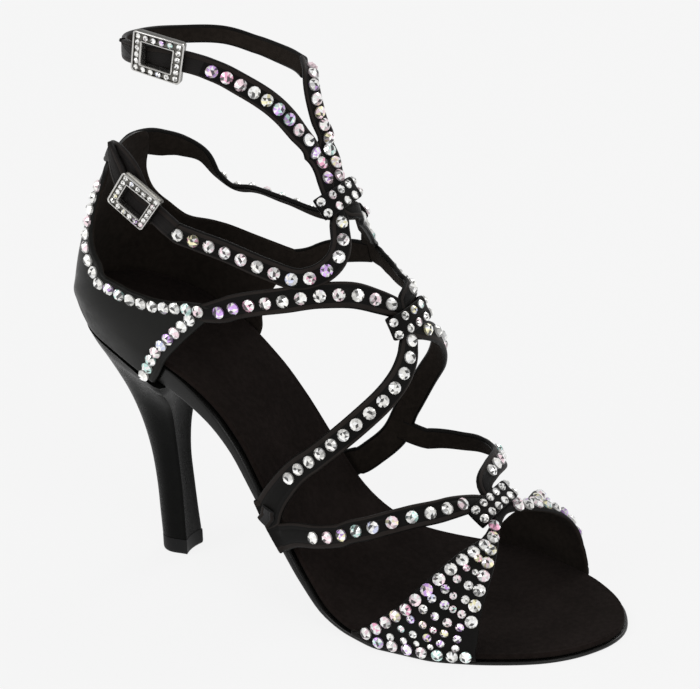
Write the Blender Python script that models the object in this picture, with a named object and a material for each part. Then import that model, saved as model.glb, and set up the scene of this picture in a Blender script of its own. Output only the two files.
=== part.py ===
"""A strappy ballroom and Latin dance shoe for a lady's right foot, on a slim flared heel.

Frame: the origin is where the heel's tip stands on the floor, at its centre. The toe points
along +X, the lateral (outer) side is -Y, up is +Z, and the floor is z = 0.
Every curved piece is worked out from one last: a sole line with its half widths, and a fan of
egg-shaped sections that stand on it, from the toe to above the ankle.
"""

import bmesh
import bpy
import numpy as np

# Sizes of the last, in metres
SHOE_LENGTH = 0.2005
HEEL_RISE = 0.0930
BALL_WIDTH = 0.0820
INSTEP_REACH = 0.0930
LEG_HEIGHT = 0.1080

# Sizes of the sole and the heel
INSOLE_THICKNESS = 0.0019
FOREPART_SOLE = 0.0013
SHANK_SOLE = 0.0075
SOLE_LIP = 0.0008
SEAT_TAPER = 0.32
HEEL_BREAST = 0.0475
HEEL_TIP_LENGTH = 0.0120
HEEL_TIP_WIDTH = 0.0118
HEEL_TIP_BACK = 0.0255
HEEL_TIP_LATERAL = 0.0030
TOP_PIECE_HEIGHT = 0.0056

# Sizes of the upper
COUNTER_WALL = 0.0018
VAMP_WALL = 0.0016
STRAP_WALL = 0.0018
QUARTER_STRAP_WIDTH = 0.0088
COLLAR_STRAP_WIDTH = 0.0075
ANKLE_STRAP_WIDTH = 0.0076
WAIST_STRAP_WIDTH = 0.0084

# Sizes of the wraps and the buckles
WRAP_WIDTH = 0.0178
WRAP_BAND = 0.0078
WRAP_WALL = 0.0010
BUCKLE_LENGTH = 0.0160
BUCKLE_WIDTH = 0.0142
BUCKLE_RIM = 0.0032
BUCKLE_THICKNESS = 0.0028

# Clearance between neighbouring pieces, and the step between straps that cross
GAP = 0.0003
LAYER = 0.00012

# The sole line, a row for each place along it from the back of the heel to the toe.
# Columns: place along SHOE_LENGTH, rise as a share of HEEL_RISE, lateral and medial half
# widths as shares of BALL_WIDTH.
SOLE = (
    (0.000, 1.000, 0.000, 0.000),
    (0.020, 0.992, 0.110, 0.110),
    (0.050, 0.975, 0.200, 0.200),
    (0.100, 0.942, 0.258, 0.258),
    (0.170, 0.884, 0.288, 0.288),
    (0.240, 0.810, 0.295, 0.288),
    (0.310, 0.700, 0.310, 0.280),
    (0.360, 0.580, 0.322, 0.270),
    (0.405, 0.424, 0.340, 0.280),
    (0.450, 0.266, 0.358, 0.295),
    (0.500, 0.132, 0.395, 0.345),
    (0.550, 0.048, 0.437, 0.410),
    (0.605, 0.010, 0.470, 0.470),
    (0.660, 0.000, 0.495, 0.497),
    (0.740, 0.000, 0.495, 0.490),
    (0.810, 0.000, 0.455, 0.440),
    (0.870, 0.000, 0.395, 0.385),
    (0.920, 0.000, 0.325, 0.310),
    (0.960, 0.001, 0.235, 0.222),
    (0.985, 0.002, 0.140, 0.130),
    (1.000, 0.003, 0.000, 0.000),
)

# How thick the wrapped sole is, as a share of the way from FOREPART_SOLE to SHANK_SOLE.
# Columns: place along the sole, share.
SOLE_BULK = (
    (0.00, 1.00),
    (0.20, 0.98),
    (0.28, 0.62),
    (0.34, 0.36),
    (0.41, 0.20),
    (0.52, 0.08),
    (0.60, 0.00),
    (1.00, 0.00),
)

# The last's sections, numbered from 0 near the toe to 16 above the ankle.
# Columns: place along the sole where the section stands; how far its foot is above the seat
# (share of LEG_HEIGHT) and forward of the seat's back (share of INSTEP_REACH); how far its
# top is forward of and above its foot (shares of INSTEP_REACH); greatest lateral and medial
# half widths (shares of BALL_WIDTH); how far up they are; how square it is; how upright its
# sides leave the sole.
LAST = (
    (0.95, 0.000, 0.000, 0.005, 0.160, 0.275, 0.240, 0.35, 2.0, 2.0),
    (0.86, 0.000, 0.000, 0.006, 0.270, 0.398, 0.385, 0.35, 2.0, 2.0),
    (0.77, 0.000, 0.000, 0.049, 0.355, 0.485, 0.445, 0.35, 2.0, 2.0),
    (0.66, 0.000, 0.000, 0.156, 0.470, 0.496, 0.480, 0.35, 2.0, 2.0),
    (0.56, 0.000, 0.000, 0.292, 0.605, 0.453, 0.425, 0.38, 2.2, 2.0),
    (0.47, 0.000, 0.000, 0.425, 0.640, 0.392, 0.350, 0.42, 2.2, 2.0),
    (0.38, 0.000, 0.000, 0.530, 0.550, 0.345, 0.300, 0.45, 2.3, 2.0),
    (0.30, 0.000, 0.000, 0.582, 0.550, 0.335, 0.298, 0.48, 2.4, 2.0),
    (0.18, 0.000, 0.000, 0.722, 0.568, 0.340, 0.310, 0.50, 2.5, 1.6),
    (0.06, 0.000, 0.000, 0.896, 0.605, 0.335, 0.322, 0.50, 2.5, 1.1),
    (0.00, 0.000, 0.000, 0.982, 0.662, 0.325, 0.322, 0.50, 2.5, 0.8),
    (0.00, 0.111, 0.006, 0.955, 0.610, 0.305, 0.308, 0.50, 2.4, 0.8),
    (0.00, 0.296, 0.075, 0.872, 0.472, 0.300, 0.300, 0.50, 2.3, 0.85),
    (0.00, 0.500, 0.196, 0.727, 0.324, 0.312, 0.312, 0.50, 2.2, 0.9),
    (0.00, 0.704, 0.270, 0.627, 0.175, 0.330, 0.335, 0.50, 2.1, 0.95),
    (0.00, 0.852, 0.290, 0.591, 0.102, 0.335, 0.340, 0.50, 2.1, 0.95),
    (0.00, 1.000, 0.300, 0.568, 0.027, 0.335, 0.340, 0.50, 2.1, 0.95),
)

# The heel, from its joint with the top piece up to the seat.
# Columns: height at its back (share), back and front (how far from the tip's back and front
# towards the seat's), half width (share of the way from the tip's to the seat's), and how
# much the section follows the seat's outline and slope.
HEEL = (
    (0.00, 0.000, 0.000, 0.000, 0.00),
    (0.10, 0.020, -0.090, -0.030, 0.00),
    (0.24, 0.045, -0.220, -0.055, 0.00),
    (0.38, 0.100, -0.380, -0.055, 0.02),
    (0.50, 0.185, -0.400, 0.000, 0.06),
    (0.60, 0.290, -0.300, 0.090, 0.14),
    (0.69, 0.410, -0.100, 0.230, 0.28),
    (0.78, 0.555, 0.200, 0.430, 0.48),
    (0.87, 0.730, 0.560, 0.660, 0.72),
    (0.94, 0.880, 0.850, 0.870, 0.90),
    (1.00, 1.000, 1.000, 1.000, 1.00),
)

# The counter's topline, round the back from the lateral front edge to the medial one.
# Columns: place round the seat (-1 lateral front, 0 back, 1 medial front), station and angle
# on the last. Angles count from the top of a section, to -180 at its foot and on round.
TOPLINE = (
    (-1.00, 7.86, -92),
    (-0.93, 8.05, -94),
    (-0.86, 8.25, -99),
    (-0.79, 8.45, -106),
    (-0.72, 8.70, -111),
    (-0.65, 9.05, -114),
    (-0.57, 9.70, -115),
    (-0.50, 10.30, -117),
    (-0.43, 10.85, -123),
    (-0.36, 11.40, -129),
    (-0.29, 11.90, -132),
    (-0.22, 12.35, -133),
    (-0.15, 12.75, -142),
    (-0.08, 13.00, -160),
    (0.00, 13.05, -180),
    (0.08, 12.98, -196),
    (0.16, 12.65, -208),
    (0.24, 12.15, -217),
    (0.32, 11.60, -225),
    (0.42, 10.75, -240),
    (0.54, 9.85, -249),
    (0.66, 9.10, -254),
    (0.78, 8.58, -258),
    (0.90, 8.15, -263),
    (1.00, 7.85, -267),
)
COUNTER_ENDS = (0.220, 0.268)

# The vamp, one piece that passes over the forefoot and narrows under its wrap.
# Columns: angle on the last, stations of its front and rear edges.
VAMP = (
    (-180, 1.38, 3.55),
    (-142, 1.39, 3.32),
    (-105, 1.36, 3.03),
    (-80, 1.35, 2.74),
    (-60, 1.37, 2.48),
    (-40, 1.46, 2.26),
    (-22, 1.68, 2.06),
    (-10, 1.92, 2.16),
    (0, 2.02, 2.70),
    (10, 1.92, 2.18),
    (22, 1.72, 2.06),
    (40, 1.52, 2.18),
    (60, 1.36, 2.40),
    (80, 1.20, 2.62),
    (105, 1.08, 2.85),
    (142, 1.03, 3.05),
    (180, 1.03, 3.20),
)

# The straps. Columns: station and angle on the last (past 180 is down the sole's side, 20 for
# each insole thickness), width as a share of the strap's own, layer above the last in straps,
# and tilt of the strap's outer face in degrees.
QUARTER_STRAP = (
    (8.00, -100, 0.70, 0, 0),
    (7.80, -90, 1.00, 0, 0),
    (7.62, -80, 1.00, 0, 0),
    (7.42, -68, 1.00, 0, 0),
    (7.18, -51, 1.00, 0, 0),
    (6.84, -32, 1.00, 0, 0),
    (6.52, -19, 0.95, 0, 0),
    (6.32, -11, 0.88, 0, 0),
    (6.18, -6, 0.80, 0, 0),
    (6.02, -4, 0.78, 0, 0),
)
COLLAR_STRAP = (
    (8.30, -8, 0.90, 0, 0),
    (8.05, -9, 0.92, 0, 0),
    (7.85, -14, 1.00, 0, 0),
    (7.60, -20, 1.00, 0, 0),
    (7.45, -28, 1.00, 0, 0),
    (7.40, -37, 1.00, 0, 0),
    (7.44, -47, 1.00, 0, 0),
    (7.60, -57, 1.00, 0, 0),
    (8.05, -66, 1.00, 0, 0),
    (8.55, -73, 1.00, 0, 0),
    (9.15, -79, 1.00, 0, 0),
    (9.80, -83, 1.00, 0.10, 0),
    (10.45, -86, 1.00, 0.80, 0),
    (11.05, -90, 1.00, 1.06, 0),
    (11.60, -98, 1.00, 1.06, 0),
    (12.10, -107, 1.00, 1.06, 0),
    (12.50, -116, 1.00, 1.06, 0),
    (12.82, -126, 0.80, 1.06, 0),
    (13.10, -137, 0.25, 1.06, 0),
)
CARRIER_STRAP = (
    (12.70, -186, 0.85, 0, 0),
    (12.82, -167, 0.95, 0, 0),
    (12.90, -152, 1.00, 0, 0),
    (12.93, -139, 1.00, 0, 0),
    (12.86, -126, 1.00, 0, 0),
    (12.66, -115, 1.00, 0, 0),
    (12.38, -107, 1.00, 0, 0),
    (12.02, -101, 1.00, 0, 0),
    (11.60, -96, 1.00, 0, 0),
    (11.25, -92, 0.90, 0, 0),
)
MEDIAL_COLLAR = (
    (12.66, 190, 0.90, 0, 0),
    (12.72, 171, 1.20, 0, 0),
    (12.60, 153, 1.30, 0, 0),
    (12.40, 138, 1.25, 0, 0),
    (12.10, 121, 1.00, 0, 5),
    (11.60, 106, 0.82, 0, 20),
    (10.88, 98, 0.72, 0, 42),
    (10.15, 93, 0.66, 0, 52),
    (9.42, 89, 0.66, 0, 55),
    (8.76, 85, 0.66, 0, 50),
    (8.18, 76, 0.66, 0, 35),
    (7.93, 56, 0.66, 0, 15),
    (7.86, 38, 0.66, 0, 0),
    (7.84, 22, 0.66, 0, 0),
)
FRONT_BRANCH = (
    (8.30, -3, 0.82, 0, 0),
    (8.02, -2, 0.80, 0, 0),
    (7.86, 11, 0.84, 0, 0),
    (7.82, 31, 0.95, 0, 0),
    (7.70, 46, 1.00, 0, 0),
    (7.50, 57, 1.00, 0, 0),
    (7.27, 63, 1.00, 0, 0),
    (7.04, 59, 1.00, 0, 0),
    (6.82, 51, 1.00, 0, 0),
    (6.60, 43, 1.00, 0, 0),
    (6.44, 24, 0.92, 0, 0),
    (6.30, 0, 0.80, 0, 0),
    (6.16, -3, 0.80, 0, 0),
    (6.02, -4, 0.78, 0, 0),
)
MEDIAL_QUARTER = (
    (7.95, 105, 0.90, 0, 0),
    (7.72, 95, 1.00, 0, 0),
    (7.57, 84, 1.00, 0, 0),
    (7.40, 74, 0.95, 0, 0),
    (7.24, 65, 0.85, 0, 0),
)
ANKLE_NEAR = (
    (8.30, -8, 0.85, 0, 0),
    (8.60, -6, 0.90, 0, 0),
    (8.95, -4, 1.00, 0, 0),
    (9.60, -3, 1.00, 0, 0),
    (10.60, -8, 1.00, 0, 0),
    (12.18, -21, 1.00, 0, 0),
    (13.28, -35, 1.00, 0, 0),
    (14.12, -50, 1.00, 0, 0),
    (14.60, -63, 1.00, 0.10, 0),
    (14.95, -76, 1.00, 0.85, 0),
    (15.10, -90, 1.00, 1.06, 0),
    (15.15, -102, 1.00, 1.06, 0),
    (15.20, -112, 1.00, 1.06, 0),
    (15.30, -120, 0.80, 1.06, 0),
    (15.45, -128, 0.25, 1.06, 0),
)
ANKLE_FAR = (
    (8.30, -2, 0.82, 0, 0),
    (8.58, 0, 0.85, 0, 0),
    (8.90, 5, 1.00, 0, 0),
    (9.60, 11, 1.00, 0, 0),
    (10.80, 14, 1.00, 0, 0),
    (12.10, 14, 1.00, 0, 0),
    (12.70, 21, 1.00, 0, 0),
    (13.02, 38, 1.00, 0, 0),
    (13.30, 56, 0.95, 0, 0),
    (13.60, 74, 0.90, 0, 0),
    (13.92, 92, 0.85, 0, 0),
    (14.28, 114, 0.85, 0, 0),
    (14.54, 141, 0.85, 0, 0),
    (14.80, 170, 0.90, 0, 0),
    (15.00, 203, 1.00, 0, 0),
    (15.10, 238, 1.00, 0, 0),
    (15.12, 266, 0.95, 0, 0),
)
LATERAL_WAIST = (
    (6.02, -6, 0.82, 0, 0),
    (5.88, -8, 0.86, 0, 0),
    (5.76, -12, 0.95, 0, 0),
    (5.60, -17, 1.00, 0, 0),
    (5.45, -27, 1.00, 0, 0),
    (5.38, -41, 1.00, 0, 0),
    (5.40, -60, 1.00, 0, 0),
    (5.47, -82, 1.00, 0, 0),
    (5.56, -104, 1.05, 0, 0),
    (5.60, -132, 1.25, 0, 0),
    (5.58, -180, 1.55, 0, 0),
    (5.58, -219, 1.55, 0, 0),
)
MEDIAL_WAIST = (
    (6.02, -4, 0.78, 0, 0),
    (5.88, -3, 0.78, 0, 0),
    (5.71, 12, 0.86, 0, 0),
    (5.51, 38, 1.00, 0, 0),
    (5.40, 54, 1.00, 0, 0),
    (5.36, 72, 1.00, 0, 0),
    (5.28, 92, 1.05, 0, 0),
    (5.20, 110, 1.15, 0, 0),
    (5.27, 140, 1.15, 0, 0),
    (5.35, 180, 1.20, 0, 0),
    (5.35, 219, 1.20, 0, 0),
)
MEDIAL_FORE = (
    (5.18, 103, 1.00, 0, 0),
    (4.78, 90, 0.98, 0, 0),
    (4.45, 80, 0.95, 0, 0),
    (3.95, 66, 0.95, 0, 0),
    (3.58, 55, 0.95, 0, 0),
    (3.22, 40, 0.95, 0, 0),
    (2.99, 17, 0.86, 0, 0),
    (2.80, 3, 0.78, 0, 0),
    (2.38, 0, 0.78, 0, 0),
)
LATERAL_FORE = (
    (5.22, -219, 1.50, 0, 0),
    (5.22, -180, 1.50, 0, 0),
    (5.12, -142, 1.15, 0, 0),
    (4.85, -114, 1.00, 0, 0),
    (4.45, -87, 0.95, 0, 0),
    (3.98, -67, 0.95, 0, 0),
    (3.45, -46, 0.95, 0, 0),
    (3.04, -25, 0.93, 0, 0),
    (2.80, -7, 0.80, 0, 0),
    (2.38, -3, 0.78, 0, 0),
)

# Where the wraps sit. Columns: name, station, angle, width as a share of WRAP_WIDTH.
WRAPS = (
    ("ankle_wrap", 8.33, -3, 1.08),
    ("instep_wrap", 6.05, -3, 1.10),
    ("vamp_wrap", 2.38, -2, 1.24),
)
# Where the buckles sit. Columns: name, station, angle, turn in degrees.
BUCKLES = (
    ("ankle_buckle", 15.20, -91, -9),
    ("collar_buckle", 11.62, -96, -17),
)


def smooth(at, places, values):
    """A curve through rows that never overshoots them."""
    places = np.asarray(places, float)
    values = np.asarray(values, float)
    at = np.clip(at, places[0], places[-1])
    step = np.diff(places)
    rise = np.diff(values) / step
    slope = np.zeros(len(places))
    one = 2 * step[1:] + step[:-1]
    two = step[1:] + 2 * step[:-1]
    same = rise[:-1] * rise[1:] > 0
    slope[1:-1][same] = (one + two)[same] / (one[same] / rise[:-1][same] + two[same] / rise[1:][same])
    slope[0] = rise[0]
    slope[-1] = rise[-1]
    i = np.clip(np.searchsorted(places, at, side="right") - 1, 0, len(step) - 1)
    t = (at - places[i]) / step[i]
    low = (1 + 2 * t) * (1 - t) ** 2 * values[i] + t * (1 - t) ** 2 * step[i] * slope[i]
    high = t * t * (3 - 2 * t) * values[i + 1] + t * t * (t - 1) * step[i] * slope[i + 1]
    return low + high


def flow(at, values):
    """A rounder curve through rows that stand at 0, 1, 2 and so on."""
    values = np.asarray(values, float)
    slope = np.gradient(values)
    at = np.clip(at, 0, len(values) - 1)
    i = np.clip(np.floor(at).astype(int), 0, len(values) - 2)
    t = at - i
    low = (1 + 2 * t) * (1 - t) ** 2 * values[i] + t * (1 - t) ** 2 * slope[i]
    high = t * t * (3 - 2 * t) * values[i + 1] + t * t * (t - 1) * slope[i + 1]
    return low + high


def ramp(at, start, end):
    """0 before start, 1 after end, and an easy slope between."""
    t = np.clip((np.asarray(at, float) - start) / (end - start), 0, 1)
    return t * t * (3 - 2 * t)


def unit(vectors):
    return vectors / np.maximum(np.linalg.norm(vectors, axis=-1, keepdims=True), 1e-12)


SOLE_ROWS = np.array(SOLE)
LAST_ROWS = np.array(LAST)
BULK_ROWS = np.array(SOLE_BULK)


def sole_line(along):
    """x, z and the lateral and medial half widths of the insole's top at a place along it."""
    a = np.clip(np.asarray(along, float), 0, 1)
    z = INSOLE_THICKNESS + GAP + FOREPART_SOLE + HEEL_RISE * smooth(a, SOLE_ROWS[:, 0], SOLE_ROWS[:, 1])
    # Half widths follow the end distance's arc, so both ends of the outline come out round.
    arc = np.arccos(1 - 2 * a)
    arcs = np.arccos(1 - 2 * SOLE_ROWS[:, 0])
    lateral = BALL_WIDTH * smooth(arc, arcs, SOLE_ROWS[:, 2])
    medial = BALL_WIDTH * smooth(arc, arcs, SOLE_ROWS[:, 3])
    return a * SHOE_LENGTH, z, lateral, medial


def sole_thickness(along):
    bulk = smooth(along, BULK_ROWS[:, 0], BULK_ROWS[:, 1])
    return FOREPART_SOLE + (SHANK_SOLE - FOREPART_SOLE) * bulk


def side_height(along):
    """From the insole's top edge to the wrapped sole's lower edge."""
    return INSOLE_THICKNESS + GAP + sole_thickness(along)


def edge_point(along, side, drop, outset=0.0):
    """A point on the sole's side: side is -1 lateral or 1 medial, drop is below the insole's top."""
    a, side, drop, outset = np.broadcast_arrays(
        np.asarray(along, float), np.asarray(side, float), np.asarray(drop, float), np.asarray(outset, float)
    )
    x, z, lateral, medial = sole_line(a)
    y = np.where(side < 0, -lateral, medial)
    point = np.stack([x, y, z], -1)
    e = 0.004
    low = np.clip(a - e, 0, 1)
    high = np.clip(a + e, 0, 1)
    x0, z0, l0, m0 = sole_line(low)
    x1, z1, l1, m1 = sole_line(high)
    slope = np.arctan2(z0 - z1, x1 - x0)
    down = np.stack([-np.sin(slope), 0 * a, -np.cos(slope)], -1)
    # Under the seat the side leans in towards the heel.
    seat = np.array([0.13 * SHOE_LENGTH, 0.0])
    inward = np.zeros_like(point)
    inward[..., :2] = unit(seat - point[..., :2])
    lean = SEAT_TAPER * (1 - ramp(a, 0.14, 0.34))
    # The outline's own outward direction, from a step along it that keeps clear of the ends.
    near = np.clip(a, 0.0004, 0.9996)
    wide = np.minimum(near, 1 - near) * 0.5
    xa, za, la, ma = sole_line(near - wide)
    xb, zb, lb, mb = sole_line(near + wide)
    dy = np.where(side < 0, lb - la, mb - ma)
    out = np.stack([-dy, side * (xb - xa), 0 * a], -1)
    point = point + (down + inward * lean[..., None]) * drop[..., None]
    return point + unit(out) * outset[..., None]


def last_point(station, angle):
    """A point on the last: angles past 180 go on round a closed section."""
    t, angle = np.broadcast_arrays(np.asarray(station, float), np.asarray(angle, float))
    angle = (angle + 180) % 360 - 180
    rows = np.arange(len(LAST_ROWS))
    along = smooth(t, rows, LAST_ROWS[:, 0])
    x, z, lateral, medial = sole_line(along)
    foot_x = x + INSTEP_REACH * flow(t, LAST_ROWS[:, 2])
    foot_z = z + LEG_HEIGHT * flow(t, LAST_ROWS[:, 1])
    top_x = INSTEP_REACH * flow(t, LAST_ROWS[:, 3])
    top_z = INSTEP_REACH * flow(t, LAST_ROWS[:, 4])
    outer = angle < 0
    edge = np.where(outer, lateral, medial)
    widest = BALL_WIDTH * np.where(outer, flow(t, LAST_ROWS[:, 5]), flow(t, LAST_ROWS[:, 6]))
    level = flow(t, LAST_ROWS[:, 7])
    power = 2 / flow(t, LAST_ROWS[:, 8])
    upright = flow(t, LAST_ROWS[:, 9])
    turn = np.radians(np.abs(angle))
    c = np.abs(np.cos(turn)) ** power
    s = np.abs(np.sin(turn))
    upper = np.abs(angle) <= 90
    share = np.where(upper, level + (1 - level) * c, level - level * c)
    half = np.where(upper, widest * s**power, edge + (widest - edge) * s**upright)
    y = np.where(outer, -half, half)
    return np.stack([foot_x + share * top_x, y, foot_z + share * top_z], -1)


def strap_point(station, angle):
    """A point of a strap's path: on the last, or past 180 down the sole's side."""
    t, angle = np.broadcast_arrays(np.asarray(station, float), np.asarray(angle, float))
    past = np.where(t < 9.5, np.maximum(np.abs(angle) - 180, 0), 0)
    held = np.where(t < 9.5, np.clip(angle, -179.999, 179.999), angle)
    along = smooth(t, np.arange(len(LAST_ROWS)), LAST_ROWS[:, 0])
    side = np.where(angle < 0, -1.0, 1.0)
    drop = past * INSOLE_THICKNESS / 20
    below = edge_point(along, side, drop) - edge_point(along, side, 0 * drop)
    return last_point(t, held) + below


def step_on_last(station, angle, ahead, across, parts=6):
    """Goes a straight way along the last from a place: ahead towards the ankle, across towards medial."""
    t = np.asarray(station, float)
    a = np.asarray(angle, float)
    e = 1e-3
    length = np.hypot(ahead, across)
    here = strap_point(t, a)
    one = unit(strap_point(t + e, a) - here)
    normal = unit(np.cross(one, strap_point(t, a + 1) - here))
    two = np.cross(normal, one)
    way = one * np.asarray(ahead, float)[..., None] + two * np.asarray(across, float)[..., None]
    for _ in range(parts):
        here = strap_point(t, a)
        by_t = (strap_point(t + e, a) - here) / e
        by_a = strap_point(t, a + 1) - here
        normal = unit(np.cross(by_t, by_a))
        # The way is laid back into the surface's own plane, and its length is kept.
        move = way - normal * (way * normal).sum(-1, keepdims=True)
        move = unit(move) * (length / parts)[..., None]
        aa = (by_t * by_t).sum(-1)
        ab = (by_t * by_a).sum(-1)
        bb = (by_a * by_a).sum(-1)
        ma = (move * by_t).sum(-1)
        mb = (move * by_a).sum(-1)
        det = aa * bb - ab * ab
        t = t + (ma * bb - mb * ab) / det
        a = a + (mb * aa - ma * ab) / det
    return t, a


def surface_normal(station, angle):
    """Unit vector out of the last."""
    t = np.asarray(station, float)
    a = np.asarray(angle, float)
    by_t = strap_point(t + 1e-3, a) - strap_point(t - 1e-3, a)
    by_a = strap_point(t, a + 0.5) - strap_point(t, a - 0.5)
    return unit(np.cross(by_a, by_t))


def material(name, colour, roughness, metallic=0.0):
    found = bpy.data.materials.new(name)
    found.use_nodes = True
    shader = found.node_tree.nodes["Principled BSDF"]
    shader.inputs["Base Color"].default_value = (*colour, 1.0)
    shader.inputs["Roughness"].default_value = roughness
    shader.inputs["Metallic"].default_value = metallic
    return found


def solid(name, points, faces, look, helper=False):
    """A mesh object from points and faces, its faces turned to point outwards."""
    mesh = bpy.data.meshes.new(name)
    mesh.from_pydata([tuple(map(float, p)) for p in points], [], [tuple(map(int, f)) for f in faces])
    work = bmesh.new()
    work.from_mesh(mesh)
    bmesh.ops.remove_doubles(work, verts=work.verts, dist=1e-7)
    bmesh.ops.dissolve_degenerate(work, edges=work.edges, dist=1e-7)
    bmesh.ops.recalc_face_normals(work, faces=work.faces)
    work.to_mesh(mesh)
    work.free()
    mesh.materials.append(look)
    mesh.shade_smooth()
    mesh.set_sharp_from_angle(angle=np.radians(35))
    made = bpy.data.objects.new(name, mesh)
    bpy.context.scene.collection.objects.link(made)
    if helper:
        made.hide_render = True
        made.display_type = "WIRE"
    return made


def wall_between(inner, outer):
    """Points and faces of a closed wall from two grids of the same size."""
    rows, columns = inner.shape[:2]
    points = np.concatenate([inner.reshape(-1, 3), outer.reshape(-1, 3)])
    size = rows * columns
    grid = np.arange(size).reshape(rows, columns)
    faces = []
    for i in range(rows - 1):
        for j in range(columns - 1):
            a, b, c, d = grid[i, j], grid[i + 1, j], grid[i + 1, j + 1], grid[i, j + 1]
            faces.append((a, b, c, d))
            faces.append((a + size, d + size, c + size, b + size))
    rim = list(grid[0, :]) + list(grid[1:, -1]) + list(grid[-1, -2::-1]) + list(grid[-2:0:-1, 0])
    for k in range(len(rim)):
        a, b = rim[k], rim[(k + 1) % len(rim)]
        faces.append((a, b, b + size, a + size))
    return points, faces


def tube_of(rings):
    """Points and faces of a body through closed rings of the same size, with flat ends."""
    rings = np.asarray(rings)
    count, size = rings.shape[:2]
    faces = []
    for i in range(count - 1):
        for j in range(size):
            k = (j + 1) % size
            faces.append((i * size + j, i * size + k, (i + 1) * size + k, (i + 1) * size + j))
    faces.append(tuple(range(size)))
    faces.append(tuple((count - 1) * size + j for j in range(size)))
    return rings.reshape(-1, 3), faces


def strap(name, rows, width, layer, look, steps=3):
    """A strap that lies along the last: a ribbon with square edges, swept along its rows."""
    rows = np.array(rows, float)
    at = np.linspace(0, len(rows) - 1, steps * (len(rows) - 1) + 1)
    station = flow(at, rows[:, 0])
    angle = flow(at, rows[:, 1])
    half = 0.5 * width * smooth(at, np.arange(len(rows)), rows[:, 2])
    lift = GAP + layer * LAYER + STRAP_WALL * smooth(at, np.arange(len(rows)), rows[:, 3])
    tilt = np.radians(smooth(at, np.arange(len(rows)), rows[:, 4]))
    centre = strap_point(station, angle)
    normal = surface_normal(station, angle)
    ahead = unit(np.gradient(centre, axis=0))
    normal = unit(normal - ahead * (normal * ahead).sum(-1, keepdims=True))
    across = np.cross(normal, ahead)
    # The tilt turns the strap's outer face up about its own path.
    upward = np.sign(across[:, 2:3] + 1e-9)
    cos = np.cos(tilt)[:, None]
    sin = np.sin(tilt)[:, None]
    across, normal = across * cos - upward * normal * sin, normal * cos + upward * across * sin
    rings = []
    base = centre + normal * lift[:, None]
    # Each edge bends down with the last, as far as the last falls away from the strap's plane.
    fall = []
    for way in (-1, 1):
        by_t = (strap_point(station + 1e-3, angle) - centre) / 1e-3
        by_a = strap_point(station, angle + 1) - centre
        move = across * (half * way)[:, None]
        aa = (by_t * by_t).sum(-1)
        ab = (by_t * by_a).sum(-1)
        bb = (by_a * by_a).sum(-1)
        ma = (move * by_t).sum(-1)
        mb = (move * by_a).sum(-1)
        det = aa * bb - ab * ab
        there = strap_point(station + (ma * bb - mb * ab) / det, angle + (mb * aa - ma * ab) / det)
        drop = np.clip(((there - centre) * normal).sum(-1), -0.0012, 0.0004)
        fall.append(np.where(np.abs(tilt) > 0.02, 0, drop))
    left = base - across * half[:, None] + normal * fall[0][:, None]
    right = base + across * half[:, None] + normal * fall[1][:, None]
    wall = normal * STRAP_WALL
    for i in range(len(at)):
        rings.append([left[i], right[i], right[i] + wall[i], base[i] + wall[i], left[i] + wall[i], ])
    points, faces = tube_of(rings)
    return solid(name, points, faces, look, helper=True)


def grid_normals(grid):
    by_row = np.gradient(grid, axis=0)
    by_column = np.gradient(grid, axis=1)
    return unit(np.cross(by_row, by_column))


def counter(look):
    """The heel's counter: a wall from the heel's rim up to the topline, round the seat."""
    rows = np.array(TOPLINE)
    u = np.linspace(-1, 1, 45)
    reach = np.where(u < 0, COUNTER_ENDS[0], COUNTER_ENDS[1])
    along = reach * u * u
    side = np.where(u < 0, -1.0, 1.0)
    top_station = smooth(u, rows[:, 0], rows[:, 1])
    top_angle = smooth(u, rows[:, 0], rows[:, 2])
    stations = np.linspace(7, 10, 61)
    places = smooth(stations, np.arange(len(LAST_ROWS)), LAST_ROWS[:, 0])
    foot_station = np.interp(-along, -places, stations)
    grid = []
    for share in (1.0, 0.5):
        grid.append(edge_point(along, side, share * side_height(along)))
    for share in (0.0, 0.08, 0.18, 0.30, 0.45, 0.62, 0.80, 1.0):
        foot_angle = np.where(u < 0, -179.99, -180.01)
        station = foot_station + (top_station - foot_station) * share
        angle = foot_angle + (top_angle - foot_angle) * share
        grid.append(last_point(station, angle))
    grid = np.array(grid)
    normals = grid_normals(grid)
    out = np.sign((normals * (grid - grid.mean(axis=(0, 1)))).sum(-1).mean())
    normals = normals * out
    points, faces = wall_between(grid + normals * GAP, grid + normals * (GAP + COUNTER_WALL))
    return solid("counter_form", points, faces, look, helper=True)


def vamp(look):
    """The vamp: a wall over the forefoot between its front and rear edges."""
    rows = np.array(VAMP, float)
    angles = np.concatenate([np.linspace(-180, -30, 13), np.linspace(-20, 20, 7), np.linspace(30, 180, 13)])
    front = smooth(angles, rows[:, 0], rows[:, 1])
    rear = smooth(angles, rows[:, 0], rows[:, 2])
    ends = np.array([200.0, 190.0])
    angles = np.concatenate([-ends, angles, ends[::-1]])
    front = np.concatenate([[front[0]] * 2, front, [front[-1]] * 2])
    rear = np.concatenate([[rear[0]] * 2, rear, [rear[-1]] * 2])
    grid = []
    for share in np.linspace(0, 1, 8):
        grid.append(strap_point(front + (rear - front) * share, angles))
    grid = np.array(grid)
    normals = grid_normals(grid)
    middle = normals[:, len(angles) // 2]
    normals = normals * np.sign(middle[:, 2].mean())
    points, faces = wall_between(grid + normals * GAP, grid + normals * (GAP + VAMP_WALL))
    return solid("vamp_form", points, faces, look, helper=True)


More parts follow.
